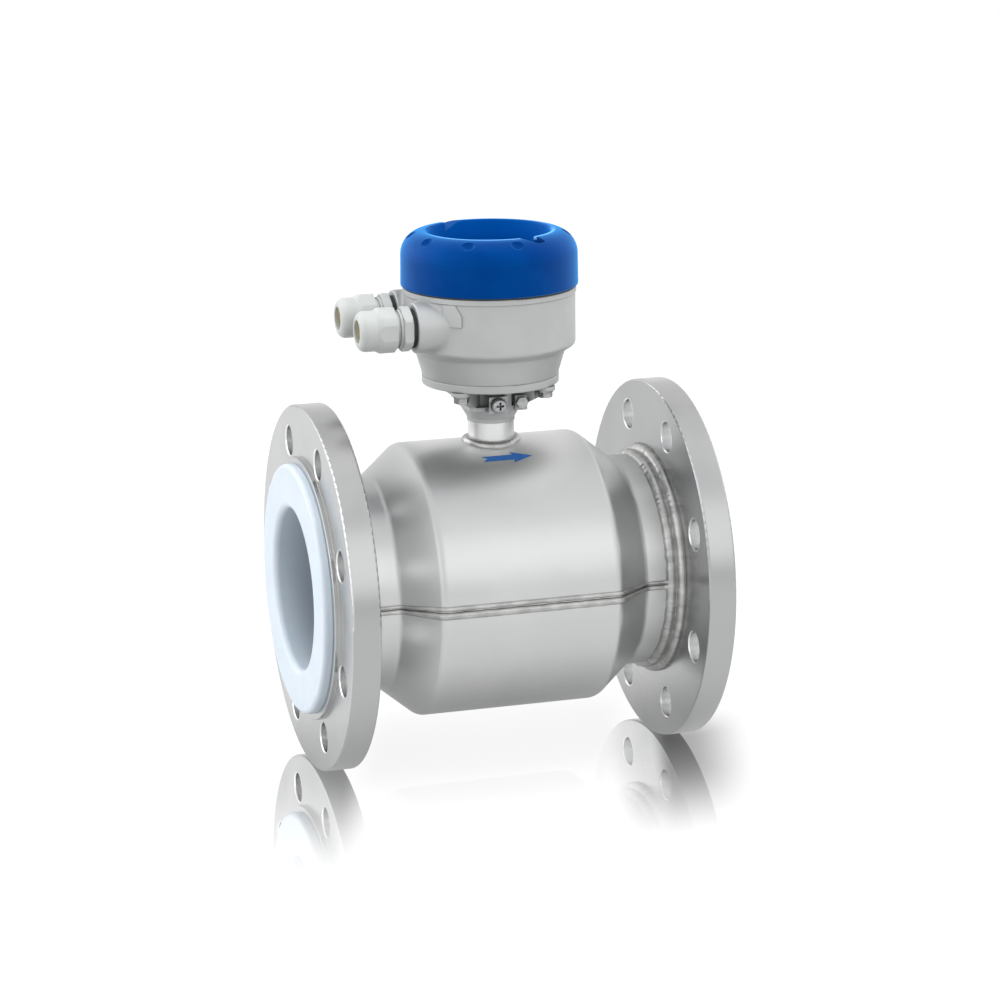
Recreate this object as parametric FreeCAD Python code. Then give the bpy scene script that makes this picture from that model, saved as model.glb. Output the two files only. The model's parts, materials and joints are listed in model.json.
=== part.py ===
import FreeCAD, Part
import math
import os

# Electromagnetic flow meter: a flanged pipe sensor with a connection box on a neck.
# Millimetres. X is the pipe axis and the flow direction, Z is up,
# and the origin is on the pipe axis, halfway between the two liner faces.

# Flanges, a 100 mm pipe size drilled for 16 bar
face_to_face = 250.0
flange_radius = 110.0
flange_thickness = 17.0
flange_edge = 1.2
raised_face_gap = 2.0
raised_face_height = 3.0
raised_face_edge = 0.5
bolt_hole_inset = 20.0
bolt_hole_radius = 9.0
bolt_hole_count = 8
bolt_hole_edge = 0.6
hub_length = 15.5

# Measuring tube and its liner
tube_radius = 57.15
tube_wall = 3.6
liner_wall = 5.05
liner_flare_inset = 4.0
liner_flare_thickness = 5.5
liner_mouth_rounding = 4.0
liner_edge_rounding = 2.5

# Pressed sheet housing, in an upper and a lower half
sheet = 2.0
barrel_radius = 82.6
barrel_half_length = 54.0
shoulder_rounding = 7.0
cone_length = 22.0
collar_gap = 5.35
foot_rounding = 5.0

# Welds of the housing
collar_weld_width = 6.5
collar_weld_toe = 3.0
collar_weld_height = 2.4
collar_weld_leg = 6.0
collar_weld_rounding = 1.6
seam_height = 8.4
seam_proud = 2.0
seam_groove_height = 1.6
seam_groove_depth = 1.1
seam_reach = 8.0

# Neck tube and the adapter that carries the connection box
neck_radius = 14.0
neck_wall = 2.5
neck_height = 12.4
neck_weld_leg = 3.6
neck_weld_height = 4.0
neck_weld_knee = 0.35
neck_weld_rounding = 1.5
sleeve_proud = 0.4
sleeve_height = 2.0
adapter_cone_height = 6.5
adapter_cone_radius = 18.2
hub_block_half_width = 18.0
hub_block_height = 15.0
hub_block_rounding = 4.0
hub_pocket_width = 7.0
hub_pocket_depth = 4.0
hub_pocket_place = 11.0
hub_side_count = 4
hub_sill = 2.6
hub_core_radius = 14.4
gusset_gap = 0.77
gusset_rise = 6.8
gusset_thickness = 4.5
adapter_flange_proud = 0.4
adapter_flange_thickness = 4.9
adapter_flange_edge = 0.6
neck_seal_radius = 18.0
neck_seal_width = 4.0
neck_seal_thickness = 1.2

# Bolts that hold the box on the adapter
box_bolt_inset = 3.93
box_bolt_flats = 8.0
box_bolt_head = 3.5
box_bolt_radius = 2.5
box_bolt_grip = 5.0
box_washer_radius = 5.0
box_washer_thickness = 1.0
bolt_pad_radius = 6.0
bolt_pad_height = 2.3

# Earth clamp on the front of the adapter
earth_clamp_place = -2.6
earth_clamp_width = 11.4
earth_clamp_height = 9.8
earth_clamp_depth = 6.5
earth_clamp_lip = 1.6
earth_clamp_level = 4.9
earth_washer_radius = 3.9
earth_washer_thickness = 1.2
earth_screw_head_radius = 4.4
earth_screw_head_height = 2.8
earth_screw_radius = 2.0
earth_screw_grip = 6.0
earth_lug_place = 13.0
earth_lug_width = 7.4
earth_lug_height = 9.0
earth_lug_proud = 2.0
earth_bolt_flats = 6.4
earth_bolt_head = 3.0
earth_bolt_radius = 1.5

# Connection box casting
box_floor = 7.0
box_cone_taper = 4.3
box_cone_height = 14.6
box_step_width = 6.2
box_step_height = 4.0
box_step_rounding = 3.0
box_radius = 51.2
box_height = 53.2
box_wall = 3.2
box_lower_wall = 3.6
box_shoulder = 1.7
box_collar_height = 13.0
box_rim_height = 3.2
box_rim_proud = 0.6
box_edge = 0.6
pillar_radius = 4.0
pillar_height = 9.0
pillar_inset = 16.0
pillar_rear_place = -16.0
pillar_front_place = 8.0

# Cable entries, both toward the inlet
entry_spacing = 44.8
entry_level = 34.6
entry_boss_radius = 14.85
entry_boss_proud = 2.8
entry_boss_edge = 1.0
entry_boss_fillet = 2.5
entry_boss_root = 0.55
entry_pad_turn = 42.0
entry_pad_width = 12.0
entry_pad_height = 13.0
entry_pad_level = 36.6
entry_pad_proud = 0.5
entry_pad_corner = 4.0

# Cable gland
gland_thread_radius = 9.9
gland_thread_length = 12.0
gland_bore_radius = 7.0
gland_washer_radius = 11.6
gland_washer_thickness = 2.5
gland_flats = 24.0
gland_hex_corner_radius = 13.4
gland_hex_height = 5.5
gland_hex_edge = 0.7
gland_collar_radius = 11.2
gland_collar_height = 1.6
gland_claw_radius = 10.0
gland_claw_wall = 1.1
gland_claw_height = 12.5
gland_nut_gap = 4.0
gland_nut_length = 22.0
gland_nut_skirt = 12.0
gland_nut_skirt_flats = 25.4
gland_nut_skirt_corner = 13.46
gland_nut_skirt_slope = 3.0
gland_nut_rounding = 4.4
gland_nut_roof = 3.3
gland_mouth_radius = 6.8
gland_mouth_rounding = 0.5
gland_insert_radius = 6.3
gland_insert_head = 6.1
gland_insert_stem = 9.1

# Screw cover
cover_overhang = 1.8
cover_draft = 0.4
cover_height = 32.4
cover_shoulder = 14.0
cover_rim_inset = 15.8
cover_rim_edge = 1.0
cover_skirt_edge = 0.5
cover_recess_rounding = 1.5
cover_underside_rounding = 1.0
cover_recess_depth = 13.0
cover_recess_draft = 1.2
cover_roof = 3.4
cover_rim_roof = 7.0
cover_inner_rounding = 8.0
cover_web = 2.6
cover_seal_thickness = 1.0
cover_seal_width = 1.8
dimple_count = 10
dimple_radius = 4.0
dimple_ball_radius = 5.0
dimple_inset = 6.5
dimple_start = 4.0
slot_count = 2
slot_wall_angle = 28.0
slot_ramp_length = 11.2
slot_depth = 5.0
slot_reach = 9.5

# Terminals inside the box
carrier_gap = 1.4
carrier_thickness = 2.0
carrier_hole_radius = 12.5
carrier_screw_radius = 1.5
carrier_screw_head_radius = 3.0
carrier_screw_head_height = 2.0
carrier_screw_grip = 6.0
terminal_pitch = 7.5
terminal_depth = 13.0
terminal_height = 15.0
terminal_place = 14.0
signal_poles = 5
coil_poles = 2
signal_block_start = -25.0
coil_block_start = 15.0
terminal_well_radius = 2.7
terminal_well_depth = 6.0
terminal_wire_radius = 1.4
terminal_wire_depth = 4.0
terminal_wire_level = 5.0
terminal_screw_radius = 2.4
terminal_screw_height = 2.0
inner_earth_place = -26.0
inner_earth_screw_radius = 2.0
inner_earth_head_radius = 4.0
inner_earth_head_height = 2.6
inner_earth_grip = 5.0
inner_earth_gap = 1.0

# Field coils, their cores and the flux return
pole_shoe_thickness = 2.0
pole_shoe_half_length = 30.0
pole_shoe_angle = 42.0
core_radius = 10.0
band_thickness = 1.5
band_gap = 2.2
band_half_width = 18.0
bobbin_radius = 24.0
bobbin_wall = 1.0
coil_inset = 0.5
core_screw_radius = 2.0
core_screw_head_radius = 3.6
core_screw_head_height = 1.4
core_screw_grip = 8.0

# Electrodes
electrode_head_radius = 5.0
electrode_head_thickness = 1.5
electrode_sink = 0.1
electrode_radius = 2.5
electrode_tail = 3.4
bushing_radius = 4.2
bushing_flange_radius = 8.0
bushing_flange_height = 2.5
electrode_washer_radius = 5.0
electrode_washer_thickness = 1.0
electrode_nut_flats = 8.0
electrode_nut_height = 4.0

# Leads between the coils, the electrodes and the terminals
lead_radius = 0.8
lead_spread = 2.2
lead_arc_share = 0.45
lead_neck_place = 9.0
lead_side_place = 24.0
lead_side_step = 2.0
lead_bend = 3.0
lead_wall_gap = 0.4
lead_drop = 4.0
lead_turn_place = 6.0
lead_entry_length = 5.0
lead_round_angles = (74.0, 46.0, 20.0)

# Blue arrow that shows the flow direction
arrow_length = 30.6
arrow_shaft_width = 5.0
arrow_head_width = 10.8
arrow_head_length = 11.5
arrow_barb = 1.0
arrow_tail_notch = 3.2
arrow_angle = 20.6
arrow_centre = 1.2
arrow_film = 0.15

# Clearances, and how far a cutting shape runs past the face it opens
slip = 0.3
part_clearance = 0.2
overcut = 1.0

# Shares of small heads: the flat left by a chamfer, a screwdriver cross and a rounding
head_chamfer_share = 0.6
head_face_share = 0.97
cross_width_share = 0.28
cross_length_share = 1.1
cross_depth_share = 0.6
head_rounding_share = 0.6

# Points closer than this are one point
same_point = 1e-6

# Turns
quarter_turn = 90.0
half_turn = 180.0
whole_turn = 360.0

# Places worked out from the sizes above
half_length = face_to_face / 2
bolt_circle_radius = flange_radius - bolt_hole_inset
raised_face_radius = bolt_circle_radius - bolt_hole_radius - raised_face_gap
liner_flare_radius = raised_face_radius - liner_flare_inset
box_cone_radius = box_radius - box_step_width
box_base_radius = box_cone_radius - box_cone_taper
box_collar_radius = box_radius - box_shoulder
box_bolt_circle_radius = box_base_radius - box_bolt_inset
box_bolt_place = box_bolt_circle_radius / math.sqrt(2)
gusset_reach = box_bolt_circle_radius - box_washer_radius - gusset_gap
adapter_flange_radius = box_base_radius + adapter_flange_proud
entry_boss_face = box_radius + entry_boss_proud
cover_radius = box_radius + cover_overhang
cover_rim_radius = cover_radius - cover_rim_inset
dimple_circle_radius = cover_radius - dimple_inset
slot_outer_radius = cover_rim_radius + slot_reach
carrier_radius = box_cone_radius - box_lower_wall - carrier_gap
pillar_side_place = carrier_radius - pillar_inset
raised_x = half_length - liner_flare_thickness
rim_x = raised_x - raised_face_height
flange_back = rim_x - flange_thickness
collar_end = flange_back - collar_weld_width
flange_hub_radius = tube_radius + collar_gap
collar_radius = flange_hub_radius + sheet
tube_inner = tube_radius - tube_wall
liner_bore = tube_inner - liner_wall
housing_inner = barrel_radius - sheet
neck_inner = neck_radius - neck_wall
neck_top = barrel_radius + neck_height
cone_bottom = neck_top + sleeve_height
hub_bottom = cone_bottom + adapter_cone_height
adapter_flange_bottom = hub_bottom + hub_block_height
box_bottom = adapter_flange_bottom + adapter_flange_thickness
floor_top = box_bottom + box_floor
shoulder_level = box_bottom + box_height
box_inner = box_collar_radius - box_wall
entry_height = box_bottom + entry_level
cover_bottom = shoulder_level + cover_seal_thickness
cover_top = cover_bottom + cover_height
cover_inner = box_collar_radius + slip
band_inner = housing_inner - band_gap - band_thickness
shoe_outer = tube_radius + pole_shoe_thickness
bobbin_bottom = shoe_outer + part_clearance
bobbin_top = math.sqrt(band_inner ** 2 - bobbin_radius ** 2) - slip
carrier_bottom = floor_top + pillar_height
carrier_top = carrier_bottom + carrier_thickness
gland_hex_start = gland_washer_thickness
gland_hex_end = gland_hex_start + gland_hex_height
gland_claw_bore = gland_claw_radius - gland_claw_wall
gland_nut_start = gland_hex_end + gland_nut_gap
gland_nut_end = gland_nut_start + gland_nut_length
gland_insert_end = gland_nut_end - gland_nut_roof
gland_insert_start = gland_insert_end - gland_insert_head - gland_insert_stem

X_AXIS = FreeCAD.Vector(1, 0, 0)
Y_AXIS = FreeCAD.Vector(0, 1, 0)
Z_AXIS = FreeCAD.Vector(0, 0, 1)
ORIGIN = FreeCAD.Vector(0, 0, 0)
REACH = 2 * (half_length + flange_radius)


def rounded_corner(corner, before, after, rounding):
    """Where a rounding starts, is at its middle and ends, on a corner."""
    to_before = (before - corner).normalize()
    to_after = (after - corner).normalize()
    half_angle = to_before.getAngle(to_after) / 2
    tangent = rounding / math.tan(half_angle)
    inward = (to_before + to_after).normalize()
    start = corner + to_before * tangent
    end = corner + to_after * tangent
    middle = corner + inward * (rounding / math.sin(half_angle) - rounding)
    return start, middle, end


def joined_edges(stations, closed):
    """Lines and arcs through stations of (start, middle or None, end)."""
    edges = []
    for index, (start, middle, end) in enumerate(stations):
        if middle is not None:
            edges.append(Part.Arc(start, middle, end).toShape())
        last = index == len(stations) - 1
        if last and not closed:
            break
        following = stations[(index + 1) % len(stations)][0]
        if end.distanceToPoint(following) > same_point:
            edges.append(Part.LineSegment(end, following).toShape())
    return edges


def outline(points):
    """Closed face in the XZ plane from (a, b) or (a, b, rounding) corners."""
    corners = [FreeCAD.Vector(point[0], 0, point[1]) for point in points]
    stations = []
    for index, point in enumerate(points):
        corner = corners[index]
        if len(point) == 3:
            after = corners[(index + 1) % len(points)]
            stations.append(rounded_corner(corner, corners[index - 1], after, point[2]))
        else:
            stations.append((corner, None, corner))
    return Part.Face(Part.Wire(joined_edges(stations, True)))


def turned(points, axis=Z_AXIS):
    """Solid of revolution, from radii and heights, or along X from places and radii."""
    return outline(points).revolve(ORIGIN, axis, whole_turn)


def turned_part(points, start, angle):
    """Part of a revolution about X, which starts at an angle from the top toward -Y."""
    face = outline(points)
    face.rotate(ORIGIN, X_AXIS, start)
    return face.revolve(ORIGIN, X_AXIS, angle)


def cylinder_x(radius):
    """Long cylinder on the pipe axis, for trimming."""
    return Part.makeCylinder(radius, REACH, FreeCAD.Vector(-REACH / 2, 0, 0), X_AXIS)


def placed(shape, position, axis=Z_AXIS):
    """Copy of a shape built along +Z, moved to a position and pointed along an axis."""
    moved = shape.copy()
    moved.Placement = FreeCAD.Placement(position, FreeCAD.Rotation(Z_AXIS, axis)).multiply(moved.Placement)
    return moved


def ring(inner, outer, bottom, height):
    """Flat ring about Z."""
    return turned([(inner, bottom), (outer, bottom), (outer, bottom + height), (inner, bottom + height)])


def block(width, depth, height, x=0.0, y=0.0, z=0.0):
    """Box centred on x and y that stands on z."""
    return Part.makeBox(width, depth, height, FreeCAD.Vector(x - width / 2, y - depth / 2, z))


def hexagon(flats, height, bottom=0.0):
    """Hexagonal prism about Z, by its width across flats."""
    radius = flats / math.sqrt(3)
    corners = []
    for angle in around(6):
        turn = math.radians(angle)
        corners.append(FreeCAD.Vector(radius * math.cos(turn), radius * math.sin(turn), bottom))
    face = Part.Face(Part.makePolygon(corners + corners[:1]))
    return face.extrude(FreeCAD.Vector(0, 0, height))


def hexagon_head(flats, height):
    """Hexagon whose far corners are chamfered, as on a bolt head or nut."""
    corner_radius = flats / math.sqrt(3)
    chamfer = corner_radius - flats / 2
    trim = turned([
        (0, 0),
        (corner_radius, 0),
        (corner_radius, height - chamfer * head_chamfer_share),
        (flats / 2 * head_face_share, height),
        (0, height),
    ])
    return hexagon(flats, height).common(trim)


def cross_recess(head_radius, top, depth):
    """Cross slot for a screwdriver, to cut from a head."""
    slot_width = head_radius * cross_width_share
    slot_length = head_radius * cross_length_share
    first = block(slot_length, slot_width, depth, z=top - depth)
    second = block(slot_width, slot_length, depth, z=top - depth)
    return first.fuse(second)


def pan_screw(head_radius, head_height, shank_radius, grip):
    """Pan head screw: the head stands on z = 0 and the shank goes down by its grip."""
    body = turned([
        (0, -grip),
        (shank_radius, -grip),
        (shank_radius, 0),
        (head_radius, 0),
        (head_radius, head_height, head_height * head_rounding_share),
        (0, head_height),
    ])
    return body.cut(cross_recess(head_radius, head_height, head_height * cross_depth_share))


def around(count, start=0.0):
    """Angles of evenly spaced copies."""
    return [start + whole_turn * index / count for index in range(count)]


def flange(side):
    """Flange with its raised face and hub; side is -1 at the inlet and 1 at the outlet."""
    hub_start = flange_back - hub_length
    body = turned([
        (side * flange_back, flange_radius, flange_edge),
        (side * rim_x, flange_radius, flange_edge),
        (side * rim_x, raised_face_radius),
        (side * raised_x, raised_face_radius, raised_face_edge),
        (side * raised_x, tube_radius),
        (side * hub_start, tube_radius),
        (side * hub_start, flange_hub_radius),
        (side * flange_back, flange_hub_radius),
    ], X_AXIS)
    flare = bolt_hole_radius + bolt_hole_edge
    drill = turned([
        (0, flange_back),
        (flare, flange_back),
        (bolt_hole_radius, flange_back + bolt_hole_edge),
        (bolt_hole_radius, rim_x - bolt_hole_edge),
        (flare, rim_x),
        (0, rim_x),
    ])
    holes = []
    for angle in around(bolt_hole_count, half_turn / bolt_hole_count):
        hole = placed(drill, ORIGIN, X_AXIS * side)
        hole.translate(FreeCAD.Vector(0, 0, bolt_circle_radius))
        hole.rotate(ORIGIN, X_AXIS, angle)
        holes.append(hole)
    return body.cut(holes)


def electrode_holes(radius, inner, outer):
    """Cylinders across the pipe axis, on the front and on the rear."""
    front = Part.makeCylinder(radius, outer - inner, FreeCAD.Vector(0, -outer, 0), Y_AXIS)
    rear = Part.makeCylinder(radius, outer - inner, FreeCAD.Vector(0, inner, 0), Y_AXIS)
    return [front, rear]


def measuring_tube():
    """Pipe that carries the fluid, with a hole for each electrode bushing."""
    body = turned([
        (-raised_x, tube_inner),
        (raised_x, tube_inner),
        (raised_x, tube_radius),
        (-raised_x, tube_radius),
    ], X_AXIS)
    return body.cut(electrode_holes(bushing_radius, tube_inner - overcut, tube_radius + overcut))


def liner():
    """Liner that covers the bore and both raised faces in one piece."""
    body = turned([
        (-half_length, liner_bore, liner_mouth_rounding),
        (half_length, liner_bore, liner_mouth_rounding),
        (half_length, liner_flare_radius, liner_edge_rounding),
        (raised_x, liner_flare_radius),
        (raised_x, tube_inner),
        (-raised_x, tube_inner),
        (-raised_x, liner_flare_radius),
        (-half_length, liner_flare_radius, liner_edge_rounding),
    ], X_AXIS)
    pocket_floor = liner_bore + electrode_sink + electrode_head_thickness
    pockets = electrode_holes(electrode_head_radius, liner_bore - overcut, pocket_floor)
    shanks = electrode_holes(electrode_radius, liner_bore - overcut, tube_radius)
    return body.cut(pockets + shanks)


def housing_line(offset):
    """Corners of the housing's side view toward the outlet, moved outwards by an offset."""
    slope = math.atan2(barrel_radius - collar_radius, cone_length)
    shift = offset * math.tan(slope / 2)
    return [
        (barrel_half_length + shift, barrel_radius + offset, shoulder_rounding + offset),
        (barrel_half_length + cone_length + shift, collar_radius + offset, foot_rounding - offset),
        (collar_end, collar_radius + offset),
    ]


def mirrored(points):
    """The same corners toward the inlet."""
    return [(-point[0],) + tuple(point[1:]) for point in points]


def housing_band(inner_offset, outer_offset):
    """Closed corners of the layer between two offsets of the housing's side view."""
    outer = housing_line(outer_offset)
    inner = housing_line(inner_offset)
    return mirrored(outer[::-1]) + outer + inner[::-1] + mirrored(inner)


def housing_shell(upper):
    """Half of the pressed housing; the upper half has the hole for the neck."""
    start = -quarter_turn if upper else quarter_turn
    shell = turned_part(housing_band(-sheet, 0), start, half_turn)
    if upper:
        shell = shell.cut(Part.makeCylinder(neck_radius, REACH))
    return shell


def seam_weld(side):
    """Welded seam along one side of the housing, two ridges with a groove between."""
    start = -side * quarter_turn - seam_reach
    ridge = turned_part(housing_band(0, seam_proud), start, 2 * seam_reach)
    slab = block(REACH, REACH, seam_height, z=-seam_height / 2)
    floor = seam_proud - seam_groove_depth
    above = turned_part(housing_band(floor, seam_proud + overcut), start, 2 * seam_reach)
    groove = above.common(block(REACH, REACH, seam_groove_height, z=-seam_groove_height / 2))
    return ridge.common(slab).cut([groove, collar_weld(-1), collar_weld(1)])


def collar_weld(side):
    """Weld between a collar of the housing and the back of its flange."""
    crown = collar_radius + collar_weld_height
    toe = collar_end - collar_weld_toe
    return turned([
        (side * toe, collar_radius),
        (side * (toe + collar_weld_height / 2), crown, collar_weld_rounding),
        (side * (flange_back - collar_weld_leg / 2), crown, collar_weld_rounding),
        (side * flange_back, collar_radius + collar_weld_leg),
        (side * flange_back, flange_hub_radius),
        (side * collar_end, flange_hub_radius),
        (side * collar_end, collar_radius),
    ], X_AXIS)


def neck_tube():
    """Tube that stands in the upper shell and carries the adapter."""
    tube = ring(neck_inner, neck_radius, 0, neck_top)
    return tube.cut(cylinder_x(housing_inner))


def neck_weld():
    """Fillet weld around the foot of the neck."""
    fillet = turned([
        (neck_radius, housing_inner - sheet),
        (neck_radius + neck_weld_leg, housing_inner - sheet),
        (neck_radius + neck_weld_leg, barrel_radius - sheet),
        (
            neck_radius + neck_weld_leg * neck_weld_knee,
            barrel_radius + neck_weld_height * neck_weld_knee,
            neck_weld_rounding,
        ),
        (neck_radius, barrel_radius + neck_weld_height),
    ])
    return fillet.cut(cylinder_x(barrel_radius))


def hub_block():
    """Square block under the adapter's flange, with pockets between its ribs."""
    width = 2 * hub_block_half_width
    body = block(width, width, hub_block_height, z=hub_bottom)
    upright = [edge for edge in body.Edges if abs(edge.tangentAt(edge.FirstParameter).z) > 0.9]
    body = body.makeFillet(hub_block_rounding, upright)
    pockets = []
    for angle in around(hub_side_count):
        for place in (-hub_pocket_place, hub_pocket_place):
            pocket = block(
                hub_pocket_width,
                2 * hub_pocket_depth,
                hub_block_height - hub_sill,
                place,
                -hub_block_half_width,
                hub_bottom + hub_sill,
            )
            pocket.rotate(ORIGIN, Z_AXIS, angle)
            pockets.append(pocket)
    return body.cut(pockets)


def gusset():
    """Rib from the hub toward a bolt, with a sloping lower edge, at the angle zero toward +X."""
    corners = [
        FreeCAD.Vector(hub_core_radius, -gusset_thickness / 2, hub_bottom),
        FreeCAD.Vector(hub_block_half_width, -gusset_thickness / 2, hub_bottom),
        FreeCAD.Vector(gusset_reach, -gusset_thickness / 2, hub_bottom + gusset_rise),
        FreeCAD.Vector(gusset_reach, -gusset_thickness / 2, adapter_flange_bottom),
        FreeCAD.Vector(hub_core_radius, -gusset_thickness / 2, adapter_flange_bottom),
    ]
    return Part.Face(Part.makePolygon(corners + corners[:1])).extrude(Y_AXIS * gusset_thickness)


def bolt_places():
    """Centres of the four bolts that hold the box."""
    return [(x, y) for x in (-box_bolt_place, box_bolt_place) for y in (-box_bolt_place, box_bolt_place)]


def earth_lug():
    """Raised pad on the adapter's front for the small earth bolt."""
    depth = earth_lug_proud + hub_pocket_depth
    return block(
        earth_lug_width,
        depth,
        earth_lug_height,
        earth_lug_place,
        -hub_block_half_width - earth_lug_proud + depth / 2,
        hub_bottom,
    )


def neck_adapter():
    """Casting between the neck and the box, with a flange, a ribbed block and a cone."""
    spindle = turned([
        (neck_inner, neck_top),
        (neck_radius + sleeve_proud, neck_top),
        (neck_radius + sleeve_proud, cone_bottom),
        (adapter_cone_radius, hub_bottom),
        (hub_core_radius, hub_bottom + hub_sill),
        (hub_core_radius, adapter_flange_bottom),
        (adapter_flange_radius, adapter_flange_bottom, adapter_flange_edge),
        (adapter_flange_radius, box_bottom, adapter_flange_edge),
        (neck_inner, box_bottom),
    ])
    pads = []
    for x, y in bolt_places():
        foot = FreeCAD.Vector(x, y, adapter_flange_bottom - bolt_pad_height)
        pads.append(Part.makeCylinder(bolt_pad_radius, bolt_pad_height, foot))
    ribs = []
    for angle in around(hub_side_count, half_turn / hub_side_count):
        rib = gusset()
        rib.rotate(ORIGIN, Z_AXIS, angle)
        ribs.append(rib)
    body = spindle.fuse([hub_block(), earth_lug()] + pads + ribs)
    bore = Part.makeCylinder(neck_inner, REACH)
    seal_room = ring(
        neck_seal_radius,
        neck_seal_radius + neck_seal_width,
        box_bottom - neck_seal_thickness,
        neck_seal_thickness + overcut,
    )
    holes = [Part.makeCylinder(box_bolt_radius, REACH, FreeCAD.Vector(x, y, hub_bottom)) for x, y in bolt_places()]
    screw_hole = Part.makeCylinder(earth_screw_radius, earth_screw_grip, earth_screw_seat(), Y_AXIS)
    bolt_hole = Part.makeCylinder(earth_bolt_radius, earth_screw_grip, earth_bolt_seat(), Y_AXIS)
    return body.cut([bore, seal_room, screw_hole, bolt_hole] + holes).removeSplitter()


def neck_seal():
    """Flat seal let into the top of the adapter."""
    bottom = box_bottom - neck_seal_thickness
    return ring(neck_seal_radius, neck_seal_radius + neck_seal_width, bottom, neck_seal_thickness)


def box_bolts():
    """Four hexagon bolts from below, into the floor of the box."""
    grip = bolt_pad_height + adapter_flange_thickness + box_bolt_grip + box_washer_thickness
    head = hexagon_head(box_bolt_flats, box_bolt_head)
    shank = Part.makeCylinder(box_bolt_radius, grip, FreeCAD.Vector(0, 0, -grip))
    bolt = head.fuse(shank)
    seat = adapter_flange_bottom - bolt_pad_height - box_washer_thickness
    return Part.makeCompound([placed(bolt, FreeCAD.Vector(x, y, seat), -Z_AXIS) for x, y in bolt_places()])


def box_washers():
    """One plain washer under each bolt head."""
    bottom = adapter_flange_bottom - bolt_pad_height - box_washer_thickness
    washer = ring(box_bolt_radius, box_washer_radius, bottom, box_washer_thickness)
    return Part.makeCompound([placed(washer, FreeCAD.Vector(x, y, 0)) for x, y in bolt_places()])


def earth_level():
    """Height of the earth clamp's centre."""
    return hub_bottom + earth_clamp_level


def earth_clamp():
    """Folded clamp for the earth wire: a square plate with a lip down each side."""
    front = -hub_block_half_width - earth_clamp_depth
    middle = front + earth_clamp_depth / 2
    bottom = earth_level() - earth_clamp_height / 2
    body = block(earth_clamp_width, earth_clamp_depth, earth_clamp_height, earth_clamp_place, middle, bottom)
    channel = block(
        earth_clamp_width - 2 * earth_clamp_lip,
        earth_clamp_depth,
        earth_clamp_height,
        earth_clamp_place,
        middle + earth_clamp_lip,
        bottom,
    )
    hole_start = FreeCAD.Vector(earth_clamp_place, front - overcut, earth_level())
    hole = Part.makeCylinder(earth_screw_radius, REACH, hole_start, Y_AXIS)
    return body.cut([channel, hole])


def earth_screw_seat():
    """Where the earth screw enters the adapter's block."""
    return FreeCAD.Vector(earth_clamp_place, -hub_block_half_width, earth_level())


def earth_bolt_seat():
    """Where the small earth bolt enters its pad."""
    return FreeCAD.Vector(earth_lug_place, -hub_block_half_width - earth_lug_proud, earth_level())


def earth_clamp_washer():
    """Washer between the clamp and the screw head."""
    washer = ring(earth_screw_radius, earth_washer_radius, 0, earth_washer_thickness)
    seat = earth_screw_seat() - Y_AXIS * earth_clamp_depth
    return placed(washer, seat, -Y_AXIS)


def earth_clamp_screw():
    """Cross head screw through the clamp into the adapter."""
    reach = earth_clamp_depth + earth_washer_thickness
    screw = pan_screw(earth_screw_head_radius, earth_screw_head_height, earth_screw_radius, reach + earth_screw_grip)
    return placed(screw, earth_screw_seat() - Y_AXIS * reach, -Y_AXIS)


def earth_bolt():
    """Small hexagon bolt in the pad beside the clamp."""
    head = hexagon_head(earth_bolt_flats, earth_bolt_head)
    shank = Part.makeCylinder(earth_bolt_radius, earth_screw_grip, FreeCAD.Vector(0, 0, -earth_screw_grip))
    return placed(head.fuse(shank), earth_bolt_seat(), -Y_AXIS)


def entry_places():
    """Centre of each cable entry's boss face, front first."""
    return [FreeCAD.Vector(-entry_boss_face, side * entry_spacing / 2, entry_height) for side in (-1, 1)]


def pillar_places():
    """Centres of the pillars that carry the terminal plate."""
    sides = (-pillar_side_place, pillar_side_place)
    return [(x, y) for x in (pillar_rear_place, pillar_front_place) for y in sides]


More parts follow.
